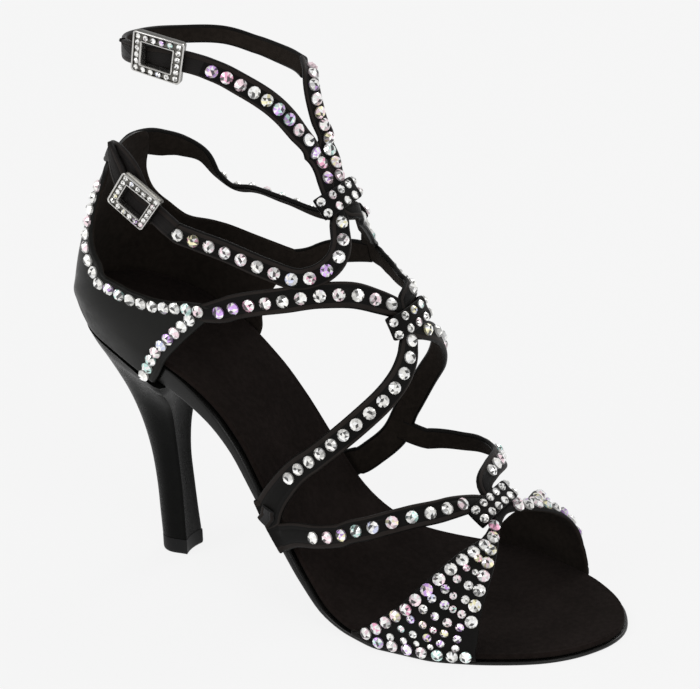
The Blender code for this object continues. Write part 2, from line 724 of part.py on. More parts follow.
def upper(look):
    """Counter, vamp and straps, sewn into one upper where they cross."""
    made = counter(look)
    made.name = "upper"
    made.hide_render = False
    made.display_type = "TEXTURED"
    others = [vamp(look)]
    straps = (
        ("quarter_strap_form", QUARTER_STRAP, QUARTER_STRAP_WIDTH, 1),
        ("collar_strap_form", COLLAR_STRAP, COLLAR_STRAP_WIDTH, 3),
        ("carrier_strap_form", CARRIER_STRAP, COLLAR_STRAP_WIDTH, 2),
        ("medial_collar_form", MEDIAL_COLLAR, QUARTER_STRAP_WIDTH, 1),
        ("front_branch_form", FRONT_BRANCH, COLLAR_STRAP_WIDTH, 4),
        ("medial_quarter_form", MEDIAL_QUARTER, QUARTER_STRAP_WIDTH, 2),
        ("ankle_near_form", ANKLE_NEAR, ANKLE_STRAP_WIDTH, 1),
        ("ankle_far_form", ANKLE_FAR, ANKLE_STRAP_WIDTH, 2),
        ("lateral_waist_form", LATERAL_WAIST, WAIST_STRAP_WIDTH, 2),
        ("medial_waist_form", MEDIAL_WAIST, WAIST_STRAP_WIDTH, 3),
        ("medial_fore_form", MEDIAL_FORE, WAIST_STRAP_WIDTH, 2),
        ("lateral_fore_form", LATERAL_FORE, WAIST_STRAP_WIDTH, 1),
    )
    for name, rows, width, layer in straps:
        others.append(strap(name, rows, width, layer, look))
    for other in others:
        union = made.modifiers.new(other.name, "BOOLEAN")
        union.operation = "UNION"
        union.solver = "MANIFOLD"
        union.object = other
        other.parent = made
    return made


def sheet_body(name, along, top_drop, low_drop, outset, look):
    """A body that lies across the sole line between two depths below the insole's top."""
    points = []
    faces = []
    rings = []
    for i, a in enumerate(along):
        tip = i in (0, len(along) - 1)
        ring = []
        for side in ((-1,) if tip else (-1, 1)):
            for drop in (top_drop, low_drop):
                ring.append(len(points))
                points.append(edge_point(a, side, drop(a), outset(a)))
        rings.append(ring if not tip else ring + ring)
    for one, two in zip(rings, rings[1:]):
        a, b, c, d = one
        e, f, g, h = two
        for face in ((a, e, g, c), (b, d, h, f), (a, b, f, e), (c, g, h, d)):
            kept = list(dict.fromkeys(face))
            if len(kept) > 2:
                faces.append(kept)
    return solid(name, points, faces, look)


def seat_ring(count, wall, drop):
    """Points round the seat, under the counter's lower edge, a given way through its wall."""
    u = np.linspace(-1, 1, count)
    along = HEEL_BREAST / SHOE_LENGTH * u * u
    side = np.where(u < 0, -1.0, 1.0)
    # The counter leans in below the seat, so its wall is level with its own slope.
    slope = np.arctan(SEAT_TAPER)
    down = wall * np.sin(slope) + drop
    return edge_point(along, side, side_height(along) + down, wall * np.cos(slope) + SEAT_TAPER * down)


def heel(look):
    """The heel: D sections from the joint with the top piece up to the seat's own outline."""
    count = 23
    rim = seat_ring(count, GAP + COUNTER_WALL, 1.3 * GAP)
    inner = seat_ring(count, -GAP, 1.3 * GAP)
    u = np.linspace(-1, 1, count)
    back = rim[count // 2]
    front = 0.5 * (rim[0] + rim[-1])
    widest = np.abs(rim[:, 1]).max()
    seat_x = (rim[:, 0] - back[0]) / (front[0] - back[0])
    seat_y = rim[:, 1] / widest
    seat_z = rim[:, 2] - back[2]
    share = u * u
    round_y = np.sign(u) * np.sqrt(np.maximum(1 - (1 - np.minimum(share / 0.5, 1)) ** 2, 0))
    round_y = round_y * (1 - 0.10 * ramp(share, 0.5, 1.0))
    start = TOP_PIECE_HEIGHT + GAP
    rows = np.array(HEEL)
    at = np.linspace(0, len(rows) - 1, 2 * (len(rows) - 1) + 1)
    rings = []
    for level in at[:-1]:
        up, b, f, w, follow = (flow(level, rows[:, k]) for k in range(5))
        x_back = HEEL_TIP_BACK + (back[0] - HEEL_TIP_BACK) * b
        tip_front = HEEL_TIP_BACK + HEEL_TIP_LENGTH
        x_front = tip_front + (front[0] - tip_front) * f
        half = 0.5 * HEEL_TIP_WIDTH + (widest - 0.5 * HEEL_TIP_WIDTH) * w
        x = x_back + (x_front - x_back) * (share + (seat_x - share) * follow)
        y = half * (round_y + (seat_y - round_y) * follow) - HEEL_TIP_LATERAL * (1 - w)
        z = start + (back[2] - start) * up + seat_z * follow
        ring = list(np.stack([x, y, z], -1))
        rings.append(ring + breast_line(ring[-1], ring[0], (x_front - x_back) * 0.07))
    top = list(rim)
    rings.append(top + breast_line(top[-1], top[0], 0.0015))
    lid = list(inner)
    rings.append(lid + breast_line(lid[-1], lid[0], 0.0015))
    points, faces = tube_of(rings)
    # The top face is closed strip by strip across the seat, because it curves.
    faces.pop()
    size = len(rings[0])
    first = (len(rings) - 1) * size
    for i in range(count // 2):
        j = count - 1 - i
        faces.append([first + k for k in dict.fromkeys((i, i + 1, j - 1, j))])
    extra = [first + k for k in [count - 1] + list(range(count, size)) + [0]]
    faces.append(extra)
    return solid("heel", points, faces, look)


def breast_line(start, end, bow):
    """Points between the breast's corners, hollowed towards the heel's back."""
    points = []
    for t in (0.25, 0.5, 0.75):
        point = start + (end - start) * t
        point = point - np.array([bow * 4 * t * (1 - t), 0, 0])
        points.append(point)
    return points


def top_piece(look):
    """The heel's rubber tip: the same D as the heel's end."""
    u = np.linspace(-1, 1, 23)
    share = u * u
    y = np.sign(u) * np.sqrt(np.maximum(1 - (1 - np.minimum(share / 0.5, 1)) ** 2, 0))
    y = y * (1 - 0.10 * ramp(share, 0.5, 1.0))
    rings = []
    for z, grow in ((0.0, 0.97), (0.0006, 1.0), (TOP_PIECE_HEIGHT, 1.0)):
        x = HEEL_TIP_BACK + HEEL_TIP_LENGTH * (0.5 + (share - 0.5) * grow)
        ring = list(np.stack([x, 0.5 * HEEL_TIP_WIDTH * y * grow - HEEL_TIP_LATERAL, 0 * x + z], -1))
        rings.append(ring + breast_line(ring[-1], ring[0], HEEL_TIP_LENGTH * 0.07))
    points, faces = tube_of(rings)
    return solid("heel_tip", points, faces, look)


def rounded(width, height, radius, each=4, more=0):
    """Points of a rounded rectangle from its right side, with more points on its two long sides."""
    points = []
    for turn, (sx, sy) in enumerate(((1, 1), (-1, 1), (-1, -1), (1, -1))):
        for k in range(each):
            a = np.pi / 2 * (turn + k / (each - 1))
            points.append((
                sx * (width / 2 - radius) + radius * np.cos(a),
                sy * (height / 2 - radius) + radius * np.sin(a),
            ))
        if turn in (0, 2):
            for k in range(more):
                x = (1 - 2 * (k + 1) / (more + 1)) * (width / 2 - radius)
                points.append((sx * x, sy * height / 2))
    return np.array(points)


def wrap(name, station, angle, share, look):
    """A band wound once round the crossing straps, open at both ends where they run through."""
    bundle = STRAP_WALL + 4 * LAYER
    width = WRAP_WIDTH * share
    hole = rounded(width - 2 * WRAP_WALL, bundle + 3 * GAP, 0.0009, 3, 5)
    body = rounded(width, bundle + 3 * GAP + 2 * WRAP_WALL, 0.0018, 3, 5)
    centre = GAP + LAYER / 2 + bundle / 2
    rings = []
    shapes = ((hole, -0.5, 0.0), (body, -0.5, -0.0004), (body, -0.36, 0.0), (body, 0.36, 0.0),
              (body, 0.5, -0.0004), (hole, 0.5, 0.0))
    for shape, ahead, swell in shapes:
        t, a = step_on_last(np.full(len(shape), float(station)), np.full(len(shape), float(angle)),
                            np.full(len(shape), ahead * WRAP_BAND), shape[:, 0])
        out = surface_normal(t, a)
        height = centre + shape[:, 1] + np.sign(shape[:, 1]) * swell
        rings.append(strap_point(t, a) + out * height[:, None])
    rings = np.array(rings)
    count, size = rings.shape[:2]
    faces = []
    for i in range(count):
        for j in range(size):
            k = (j + 1) % size
            n = (i + 1) % count
            faces.append((i * size + j, i * size + k, n * size + k, n * size + j))
    return solid(name, rings.reshape(-1, 3), faces, look)


def buckle(name, station, angle, turn, look):
    """A square frame that lies on the strap and follows its curve."""
    shapes = (
        (rounded(BUCKLE_LENGTH - 2 * BUCKLE_RIM, BUCKLE_WIDTH - 2 * BUCKLE_RIM, 0.0008), 0.0),
        (rounded(BUCKLE_LENGTH - 2 * BUCKLE_RIM, BUCKLE_WIDTH - 2 * BUCKLE_RIM, 0.0008), 1.0),
        (rounded(BUCKLE_LENGTH - 0.0008, BUCKLE_WIDTH - 0.0008, 0.0012), 1.0),
        (rounded(BUCKLE_LENGTH, BUCKLE_WIDTH, 0.0016), 0.8),
        (rounded(BUCKLE_LENGTH, BUCKLE_WIDTH, 0.0016), 0.0),
    )
    base = 2.06 * STRAP_WALL + 2 * GAP + 4 * LAYER
    rings = []
    swing = np.radians(turn)
    for shape, share in shapes:
        across = shape[:, 0] * np.cos(swing) - shape[:, 1] * np.sin(swing)
        ahead = shape[:, 0] * np.sin(swing) + shape[:, 1] * np.cos(swing)
        t, a = step_on_last(np.full(len(shape), float(station)), np.full(len(shape), float(angle)), ahead, across)
        out = surface_normal(t, a)
        rings.append(strap_point(t, a) + out * (base + BUCKLE_THICKNESS * share))
    rings = np.array(rings)
    count, size = rings.shape[:2]
    faces = []
    for i in range(count):
        for j in range(size):
            k = (j + 1) % size
            n = (i + 1) % count
            faces.append((i * size + j, i * size + k, n * size + k, n * size + j))
    return solid(name, rings.reshape(-1, 3), faces, look)


def main():
    for old in list(bpy.data.objects):
        bpy.data.objects.remove(old)
    satin = material("black_satin", (0.012, 0.012, 0.013), 0.38)
    suede = material("brown_black_suede", (0.016, 0.011, 0.010), 0.95)
    chrome_suede = material("black_suede_sole", (0.02, 0.02, 0.02), 0.9)
    heel_satin = material("heel_satin", (0.014, 0.014, 0.015), 0.35)
    rubber = material("grey_black_rubber", (0.04, 0.04, 0.042), 0.6)
    silver = material("silver_frame", (0.72, 0.72, 0.70), 0.25, 1.0)
    upper(satin)
    along = 0.5 * (1 - np.cos(np.linspace(0, np.pi, 49)))
    sheet_body("insole", along, lambda a: 0.0, lambda a: INSOLE_THICKNESS, lambda a: -0.7 * GAP, suede)
    sheet_body(
        "sole",
        along,
        lambda a: INSOLE_THICKNESS + GAP,
        side_height,
        lambda a: float(SOLE_LIP * ramp(a, 0.48, 0.58)),
        chrome_suede,
    )
    heel(heel_satin)
    top_piece(rubber)
    for name, station, angle, share in WRAPS:
        wrap(name, station, angle, share, satin)
    for name, station, angle, turn in BUCKLES:
        buckle(name, station, angle, turn, silver)
    # Everything above is placed from the seat's back, so it is all moved to stand on the origin.
    for made in bpy.data.objects:
        if made.parent is None:
            made.location = (-HEEL_TIP_BACK - HEEL_TIP_LENGTH / 2, HEEL_TIP_LATERAL, 0)


main()
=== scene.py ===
"""Looks of a strappy ballroom dance shoe for the right foot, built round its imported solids.

The shoe is black satin over one last: counter, vamp, crossing straps, wraps, a suede insole,
a wrapped sole, a satin heel with a rubber tip, two square buckles and flat-backed crystals.
Pieces are worked out in the last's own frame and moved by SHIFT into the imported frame.
"""

import bmesh
import bpy
import numpy as np
from mathutils import Matrix


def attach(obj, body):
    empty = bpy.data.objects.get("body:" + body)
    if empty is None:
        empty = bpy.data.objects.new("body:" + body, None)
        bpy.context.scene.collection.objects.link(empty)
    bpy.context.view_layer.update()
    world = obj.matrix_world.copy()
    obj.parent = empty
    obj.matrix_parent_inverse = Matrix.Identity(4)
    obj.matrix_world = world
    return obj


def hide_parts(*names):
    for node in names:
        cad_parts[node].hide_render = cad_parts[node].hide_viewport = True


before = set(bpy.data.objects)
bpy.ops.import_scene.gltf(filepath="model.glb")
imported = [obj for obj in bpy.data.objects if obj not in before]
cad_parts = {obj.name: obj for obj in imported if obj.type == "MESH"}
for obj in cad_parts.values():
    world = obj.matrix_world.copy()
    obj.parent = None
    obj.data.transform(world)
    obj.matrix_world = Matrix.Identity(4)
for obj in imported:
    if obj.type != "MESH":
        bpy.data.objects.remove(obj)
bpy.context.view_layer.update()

# Sizes of the last, the sole, the heel and the upper, in metres
SHOE_LENGTH = 0.2005
HEEL_RISE = 0.0930
BALL_WIDTH = 0.0820
INSTEP_REACH = 0.0930
LEG_HEIGHT = 0.1080
INSOLE_THICKNESS = 0.0019
INSOLE_SHY = 0.0020
FOREPART_SOLE = 0.0013
SHANK_SOLE = 0.0075
SOLE_LIP = 0.0008
SEAT_TAPER = 0.32
HEEL_BREAST = 0.0475
HEEL_TIP_LENGTH = 0.0120
HEEL_TIP_WIDTH = 0.0118
HEEL_TIP_BACK = 0.0255
HEEL_TIP_LATERAL = 0.0030
TOP_PIECE_HEIGHT = 0.0056
COUNTER_WALL = 0.0018
COLLAR_DRAW = 0.0024
VAMP_WALL = 0.0016
STRAP_WALL = 0.0018
QUARTER_STRAP_WIDTH = 0.0088
COLLAR_STRAP_WIDTH = 0.0075
ANKLE_STRAP_WIDTH = 0.0076
WAIST_STRAP_WIDTH = 0.0084
WRAP_WIDTH = 0.0178
WRAP_BAND = 0.0078
WRAP_WALL = 0.0010
WRAP_ROUND = 0.0024
BUCKLE_LENGTH = 0.0160
BUCKLE_WIDTH = 0.0142
BUCKLE_RIM = 0.0032
BUCKLE_THICKNESS = 0.0028
GAP = 0.0003
LAYER = 0.00012
# Where the seat's middle is and between which places its taper runs out, as shares of the shoe
SEAT_CENTRE = 0.13
SEAT_TAPER_ENDS = (0.14, 0.34)
BREAST_HOLLOW = 0.07
# From this station up a section stands clear of the sole. Below it, angles past 180 go down the
# sole's side: so many degrees for the insole's thickness.
ANKLE_FROM = 9.5
EDGE_DEGREES = 20
# Straps: how far their outer face is crowned and how much their edges may fall with the last,
# the step between their sections, and the rows between which a twist starts and ends
STRAP_CROWN = 0.07
FALL_LIMITS = (-0.0012, 0.0004)
STRAP_STEP = 0.0012
TWIST_STARTS = (1.6, 3.0)
TWIST_ENDS = (6.6, 8.6)
NEVER = 99.0
# The counter: shares down the sole's side, stations and angles from the back between which the
# cup draws in, and the rows, lean and smoothing passes of its swell
CUFF_SHARES = (1.0, 0.985, 0.94, 0.86, 0.7, 0.5, 0.3, 0.12)
DRAW_STATIONS = (9.5, 11.2)
DRAW_ANGLES = (22, 44)
SWELL_ROWS = 16
SWELL_LEAN = 0.45
SWELL_SMOOTHINGS = 70
FLOOR_REACH = 8.0
SHIFT = np.array([-HEEL_TIP_BACK - HEEL_TIP_LENGTH / 2, HEEL_TIP_LATERAL, 0.0])

# Crystals: across, in metres
STRAP_CRYSTAL = 0.0043
KNOT_CRYSTAL = 0.0030
BUCKLE_CRYSTAL = 0.0019

# Sole line: place, rise, lateral and medial half widths
SOLE = np.array((
    (0.000, 1.000, 0.000, 0.000), (0.020, 0.992, 0.110, 0.110), (0.050, 0.975, 0.200, 0.200),
    (0.100, 0.942, 0.258, 0.258), (0.170, 0.884, 0.288, 0.288), (0.240, 0.810, 0.295, 0.288),
    (0.310, 0.700, 0.310, 0.280), (0.360, 0.580, 0.322, 0.270), (0.405, 0.424, 0.340, 0.280),
    (0.450, 0.266, 0.358, 0.295), (0.500, 0.132, 0.395, 0.345), (0.550, 0.048, 0.437, 0.410),
    (0.605, 0.010, 0.470, 0.470), (0.660, 0.000, 0.495, 0.497), (0.740, 0.000, 0.495, 0.490),
    (0.810, 0.000, 0.455, 0.440), (0.870, 0.000, 0.395, 0.385), (0.920, 0.000, 0.325, 0.310),
    (0.960, 0.001, 0.235, 0.222), (0.985, 0.002, 0.140, 0.130), (1.000, 0.003, 0.000, 0.000),
))
# How thick the wrapped sole is: place, share
SOLE_BULK = np.array((
    (0.00, 1.00), (0.20, 0.98), (0.28, 0.62), (0.34, 0.36), (0.41, 0.20), (0.52, 0.08),
    (0.60, 0.00), (1.00, 0.00),
))
# The last's sections: place, foot height and reach, top's reach and height, half widths,
# level of the widest place, squareness, uprightness of the sides
LAST = np.array((
    (0.95, 0.000, 0.000, 0.005, 0.160, 0.275, 0.240, 0.35, 2.0, 2.0),
    (0.86, 0.000, 0.000, 0.006, 0.270, 0.398, 0.385, 0.35, 2.0, 2.0),
    (0.77, 0.000, 0.000, 0.049, 0.355, 0.485, 0.445, 0.35, 2.0, 2.0),
    (0.66, 0.000, 0.000, 0.156, 0.470, 0.496, 0.480, 0.35, 2.0, 2.0),
    (0.56, 0.000, 0.000, 0.292, 0.605, 0.453, 0.425, 0.38, 2.2, 2.0),
    (0.47, 0.000, 0.000, 0.425, 0.640, 0.392, 0.350, 0.42, 2.2, 2.0),
    (0.38, 0.000, 0.000, 0.530, 0.550, 0.345, 0.300, 0.45, 2.3, 2.0),
    (0.30, 0.000, 0.000, 0.582, 0.550, 0.335, 0.298, 0.48, 2.4, 2.0),
    (0.18, 0.000, 0.000, 0.722, 0.568, 0.340, 0.310, 0.50, 2.5, 1.6),
    (0.06, 0.000, 0.000, 0.896, 0.605, 0.335, 0.322, 0.50, 2.5, 1.1),
    (0.00, 0.000, 0.000, 0.982, 0.662, 0.325, 0.322, 0.50, 2.5, 0.8),
    (0.00, 0.111, 0.006, 0.955, 0.610, 0.305, 0.308, 0.50, 2.4, 0.8),
    (0.00, 0.296, 0.075, 0.872, 0.472, 0.300, 0.300, 0.50, 2.3, 0.85),
    (0.00, 0.500, 0.196, 0.727, 0.324, 0.312, 0.312, 0.50, 2.2, 0.9),
    (0.00, 0.704, 0.270, 0.627, 0.175, 0.330, 0.335, 0.50, 2.1, 0.95),
    (0.00, 0.852, 0.290, 0.591, 0.102, 0.335, 0.340, 0.50, 2.1, 0.95),
    (0.00, 1.000, 0.300, 0.568, 0.027, 0.335, 0.340, 0.50, 2.1, 0.95),
))
# The heel: height, back, front, half width, how much it follows the seat
HEEL = np.array((
    (0.00, 0.000, 0.000, 0.000, 0.00), (0.10, 0.020, -0.090, -0.030, 0.00),
    (0.24, 0.045, -0.220, -0.055, 0.00), (0.38, 0.100, -0.380, -0.055, 0.02),
    (0.50, 0.185, -0.400, 0.000, 0.06), (0.60, 0.290, -0.300, 0.090, 0.14),
    (0.69, 0.410, -0.100, 0.230, 0.28), (0.78, 0.555, 0.200, 0.430, 0.48),
    (0.87, 0.730, 0.560, 0.660, 0.72), (0.94, 0.880, 0.850, 0.870, 0.90),
    (1.00, 1.000, 1.000, 1.000, 1.00),
))
# The counter's topline: place round the seat, station, angle
TOPLINE = np.array((
    (-1.00, 7.86, -92), (-0.93, 8.05, -94), (-0.86, 8.25, -99), (-0.79, 8.45, -106),
    (-0.72, 8.70, -111), (-0.65, 9.05, -114), (-0.57, 9.70, -115), (-0.50, 10.30, -117),
    (-0.43, 10.85, -123), (-0.36, 11.40, -129), (-0.29, 11.90, -132), (-0.22, 12.35, -133),
    (-0.15, 12.75, -142), (-0.08, 13.00, -160), (0.00, 13.05, -180), (0.08, 12.98, -196),
    (0.16, 12.65, -208), (0.24, 12.15, -217), (0.32, 11.60, -225), (0.42, 10.75, -240),
    (0.54, 9.85, -249), (0.66, 9.10, -254), (0.78, 8.58, -258), (0.90, 8.15, -263),
    (1.00, 7.85, -267),
))
COUNTER_ENDS = (0.220, 0.268)
# The vamp: angle, stations of its front and rear edges
VAMP = np.array((
    (-180, 1.38, 3.55), (-142, 1.39, 3.32), (-105, 1.36, 3.03), (-80, 1.35, 2.74),
    (-60, 1.37, 2.48), (-40, 1.46, 2.26), (-22, 1.68, 2.06), (-10, 1.92, 2.16), (0, 2.02, 2.70),
    (10, 1.92, 2.18), (22, 1.72, 2.06), (40, 1.52, 2.18), (60, 1.36, 2.40), (80, 1.20, 2.62),
    (105, 1.08, 2.85), (142, 1.03, 3.05), (180, 1.03, 3.20),
))
# The straps: station, angle, width share (1), lift in walls (0), tilt in degrees (0). A row
# that stops early has the values in brackets.
QUARTER_STRAP = (
    (8.00, -100, 0.70), (7.80, -90), (7.62, -80), (7.42, -68), (7.18, -51), (6.84, -32),
    (6.52, -19, 0.95), (6.32, -11, 0.88), (6.18, -6, 0.80), (6.02, -4, 0.78),
)
COLLAR_STRAP = (
    (8.30, -8, 0.90), (8.05, -9, 0.92), (7.85, -14), (7.60, -20), (7.45, -28), (7.40, -37),
    (7.44, -47), (7.60, -57), (8.05, -66), (8.55, -73), (9.15, -79), (9.80, -83, 1.00, 0.10),
    (10.45, -86, 1.00, 0.80), (11.05, -90, 1.00, 1.06), (11.60, -98, 1.00, 1.06),
    (12.10, -107, 1.00, 1.06), (12.50, -116, 1.00, 1.06), (12.82, -126, 0.80, 1.06),
    (13.10, -137, 0.25, 1.06),
)
CARRIER_STRAP = (
    (12.78, -180, 0.50), (12.82, -167, 0.95), (12.90, -152), (12.93, -139), (12.86, -126),
    (12.66, -115), (12.38, -107), (12.02, -101), (11.60, -96), (11.25, -92, 0.90),
)
MEDIAL_COLLAR = (
    (12.70, 184, 0.55), (12.72, 171, 1.20), (12.60, 153, 1.30), (12.40, 138, 1.25),
    (12.10, 121, 1.00, 0, 5), (11.60, 106, 0.82, 0, 20), (10.88, 98, 0.72, 0, 42),
    (10.15, 93, 0.66, 0, 52), (9.42, 89, 0.66, 0, 55), (8.76, 85, 0.66, 0, 50),
    (8.18, 76, 0.66, -0.2, 35), (7.93, 56, 0.66, -0.9, 15), (7.86, 38, 0.66, -1.4),
    (7.84, 22, 0.66, -1.3),
)
FRONT_BRANCH = (
    (8.30, -3, 0.82), (8.02, -2, 0.80), (7.86, 11, 0.84), (7.82, 31, 0.95), (7.70, 46),
    (7.50, 57), (7.27, 63), (7.04, 59), (6.82, 51), (6.60, 43), (6.44, 24, 0.92),
    (6.30, 0, 0.80), (6.16, -3, 0.80), (6.02, -4, 0.78),
)
MEDIAL_QUARTER = (
    (7.95, 105, 0.90), (7.72, 95), (7.57, 84), (7.40, 74, 0.95), (7.24, 65, 0.85),
)
ANKLE_NEAR = (
    (8.30, -8, 0.85), (8.60, -6, 0.90), (8.95, -4), (9.60, -3), (10.60, -8), (12.18, -21),
    (13.28, -35), (14.12, -50), (14.60, -63, 1.00, 0.10), (14.95, -76, 1.00, 0.85),
    (15.10, -90, 1.00, 1.06), (15.15, -102, 1.00, 1.06), (15.20, -111, 0.90, 1.06),
    (15.26, -118, 0.66, 1.06), (15.31, -125, 0.38, 1.06), (15.36, -131, 0.08, 1.06),
)
ANKLE_FAR = (
    (8.30, -2, 0.82), (8.58, 0, 0.85), (8.90, 5), (9.60, 11), (10.80, 14), (12.10, 14),
    (12.70, 21), (13.02, 38), (13.30, 56, 0.95), (13.60, 74, 0.90), (13.92, 92, 0.85),
    (14.28, 114, 0.85), (14.54, 141, 0.85), (14.80, 170, 0.90), (15.00, 203), (15.10, 238),
    (15.12, 266, 0.95),
)
LATERAL_WAIST = (
    (6.02, -6, 0.82), (5.88, -8, 0.86), (5.76, -12, 0.95), (5.60, -17), (5.45, -27), (5.38, -41),
    (5.40, -60), (5.47, -82), (5.56, -104, 1.05), (5.56, -132, 1.15), (5.50, -180, 1.35),
    (5.50, -219, 1.35),
)
MEDIAL_WAIST = (
    (6.02, -4, 0.78), (5.88, -3, 0.78), (5.71, 12, 0.86), (5.51, 38), (5.40, 54), (5.36, 72),
    (5.28, 92, 1.05), (5.20, 110, 1.15), (5.27, 140, 1.15), (5.35, 180, 1.20), (5.35, 219, 1.20),
)
MEDIAL_FORE = (
    (5.18, 103), (4.78, 90, 0.98), (4.45, 80, 0.95), (3.95, 66, 0.95), (3.58, 55, 0.95),
    (3.22, 40, 0.95), (2.99, 17, 0.86), (2.80, 3, 0.78), (2.38, 0, 0.78),
)
LATERAL_FORE = (
    (5.24, -219, 1.25), (5.24, -180, 1.25), (5.13, -142, 1.08), (4.85, -114), (4.45, -87, 0.95),
    (3.98, -67, 0.95), (3.50, -46, 0.95), (3.00, -26, 0.93), (2.66, -12, 0.80), (2.38, -3, 0.78),
)
# The small folded keeper over the waist strap's end, on the sole's side
KEEPER = (
    (5.52, -160, 0.62, 0.60), (5.48, -180, 0.62, 0.60), (5.46, -198, 0.62, 0.60),
    (5.44, -216, 0.62, 0.60),
)
# Every strap: piece, its rows, its width, its layer, first and last row of its crystals and
# how many, the mix of their tints, how far their row is off the middle, their share in size
STRAPS = (
    ("quarter_strap", QUARTER_STRAP, QUARTER_STRAP_WIDTH, 1, 0.75, 6.7, 11, "mixed", 0, 1),
    ("collar_strap", COLLAR_STRAP, COLLAR_STRAP_WIDTH, 3, 1.75, 10.9, 13, "rose", 0, 1),
    ("buckle_carrier", CARRIER_STRAP, COLLAR_STRAP_WIDTH, 2, 0, 0, 0, "clear", 0, 1),
    ("medial_collar", MEDIAL_COLLAR, QUARTER_STRAP_WIDTH, 1, 5.5, 12.6, 14, "clear", -0.0009, 0.72),
    ("front_branch", FRONT_BRANCH, COLLAR_STRAP_WIDTH, 4, 2.2, 10.6, 13, "clear", 0, 0.9),
    ("medial_quarter", MEDIAL_QUARTER, QUARTER_STRAP_WIDTH, 2, 0.7, 3.6, 5, "mixed", 0, 1),
    ("ankle_near", ANKLE_NEAR, ANKLE_STRAP_WIDTH, 1, 1.85, 7.85, 12, "violet", 0, 1),
    ("ankle_far", ANKLE_FAR, ANKLE_STRAP_WIDTH, 2, 1.6, 6.6, 10, "rose", 0, 1),
    ("lateral_waist", LATERAL_WAIST, WAIST_STRAP_WIDTH, 2, 1.7, 8.4, 13, "clear", 0, 1),
    ("medial_waist", MEDIAL_WAIST, WAIST_STRAP_WIDTH, 3, 1.6, 7.2, 11, "clear", 0, 1),
    ("medial_fore", MEDIAL_FORE, WAIST_STRAP_WIDTH, 2, 0.7, 6.2, 10, "clear", 0, 1),
    ("lateral_fore", LATERAL_FORE, WAIST_STRAP_WIDTH, 1, 2.95, 7.5, 10, "mixed", 0, 1),
)
# Places past which a strap is plain and ribbed, and straps that turn towards the outer side
RIBBED_FROM = {"buckle_carrier": -1.0, "collar_strap": 11.3, "ankle_near": 8.2}
TWISTS = {"ankle_far": 40.0}
# Rows between which a strap is pulled straight, and how much of the way to a straight line
TAUT = {"front_branch": ((1, 6, 0.85), (6, 11, 0.6))}
# How high the gathers of a ribbed stretch stand
GATHER = 0.00007
# The wraps: piece, station, angle, width share, crystals in each of its two rows
WRAPS = (
    ("ankle_wrap", 8.33, -3, 1.08, 5),
    ("instep_wrap", 6.05, -3, 1.10, 5),
    ("vamp_wrap", 2.38, -2, 1.24, 6),
)
# The buckles: piece, station, angle, turn in degrees
BUCKLES = (
    ("ankle_buckle", 15.20, -91, -9),
    ("collar_buckle", 11.62, -96, -17),
)
# Rows of crystals inside a border: border, way in, first and last share of its length, count
COUNTER_BORDERS = (
    (1, 0.0042, 0.026, 0.405, 18), (1, 0.0042, 0.600, 0.974, 18),
    (2, 0.0046, 0.030, 0.790, 9), (3, 0.0046, 0.030, 0.790, 9),
)
VAMP_BORDERS = (
    (1, 0.0028, 0.040, 0.410, 13), (1, 0.0028, 0.590, 0.960, 13),
    (0, 0.0028, 0.125, 0.425, 8), (0, 0.0028, 0.575, 0.875, 8),
)
# The vamp's crystals inside its border, listed one by one: angle round the last, share of the
# way from the front to the rear edge, size as a share of a strap crystal
VAMP_FIELD = np.array((
    (-29, 0.56, 0.56), (-37, 0.53, 0.70), (-46, 0.61, 0.58), (-46, 0.39, 0.50),
    (-55, 0.62, 0.66), (-56, 0.37, 0.74), (-64, 0.67, 0.72), (-66, 0.50, 0.58),
    (-66, 0.30, 0.66), (-73, 0.73, 0.70), (-74, 0.53, 0.74), (-75, 0.40, 0.58),
    (-77, 0.26, 0.66), (-82, 0.73, 0.74), (-84, 0.56, 0.68), (-86, 0.39, 0.74),
    (-88, 0.23, 0.68), (-96, 0.76, 0.70), (-98, 0.61, 0.66), (-102, 0.48, 0.58),
    (-103, 0.36, 0.66), (-110, 0.21, 0.68), (-117, 0.74, 0.60), (-120, 0.61, 0.66),
    (-119, 0.48, 0.70), (-126, 0.34, 0.66), (-133, 0.19, 0.62), (-139, 0.75, 0.66),
    (-139, 0.63, 0.60), (-138, 0.52, 0.50), (-139, 0.40, 0.50),
))


# ---------------------------------------------------------------- the last, as in the solids
def cubic(t, one, two, leave, arrive):
    """A cubic from one value to the next, by its slopes where it leaves and where it arrives."""
    low = (1 + 2 * t) * (1 - t) ** 2 * one + t * (1 - t) ** 2 * leave
    return low + (t * t * (3 - 2 * t) * two + t * t * (t - 1) * arrive)


def smooth(at, places, values):
    """A cubic through rows whose slopes are weighted harmonic means, so it never overshoots."""
    places = np.asarray(places, float)
    values = np.asarray(values, float)
    at = np.clip(at, places[0], places[-1])
    step = np.diff(places)
    rise = np.diff(values) / step
    one = 2 * step[1:] + step[:-1]
    two = step[1:] + 2 * step[:-1]
    same = rise[:-1] * rise[1:] > 0
    slope = np.zeros(len(places))
    slope[1:-1][same] = (one + two)[same] / (
        one[same] / rise[:-1][same] + two[same] / rise[1:][same]
    )
    slope[[0, -1]] = rise[[0, -1]]
    i = np.clip(np.searchsorted(places, at, side="right") - 1, 0, len(step) - 1)
    t = (at - places[i]) / step[i]
    return cubic(t, values[i], values[i + 1], step[i] * slope[i], step[i] * slope[i + 1])


def flow(at, values):
    """A cubic through rows at 0, 1, 2 and so on, with central slopes."""
    values = np.asarray(values, float)
    slope = np.gradient(values)
    at = np.clip(at, 0, len(values) - 1)
    i = np.clip(np.floor(at).astype(int), 0, len(values) - 2)
    return cubic(at - i, values[i], values[i + 1], slope[i], slope[i + 1])


def ramp(at, start, end):
    """0 before start, 1 after end, and an easy slope between."""
    t = np.clip((np.asarray(at, float) - start) / (end - start), 0, 1)
    return t * t * (3 - 2 * t)


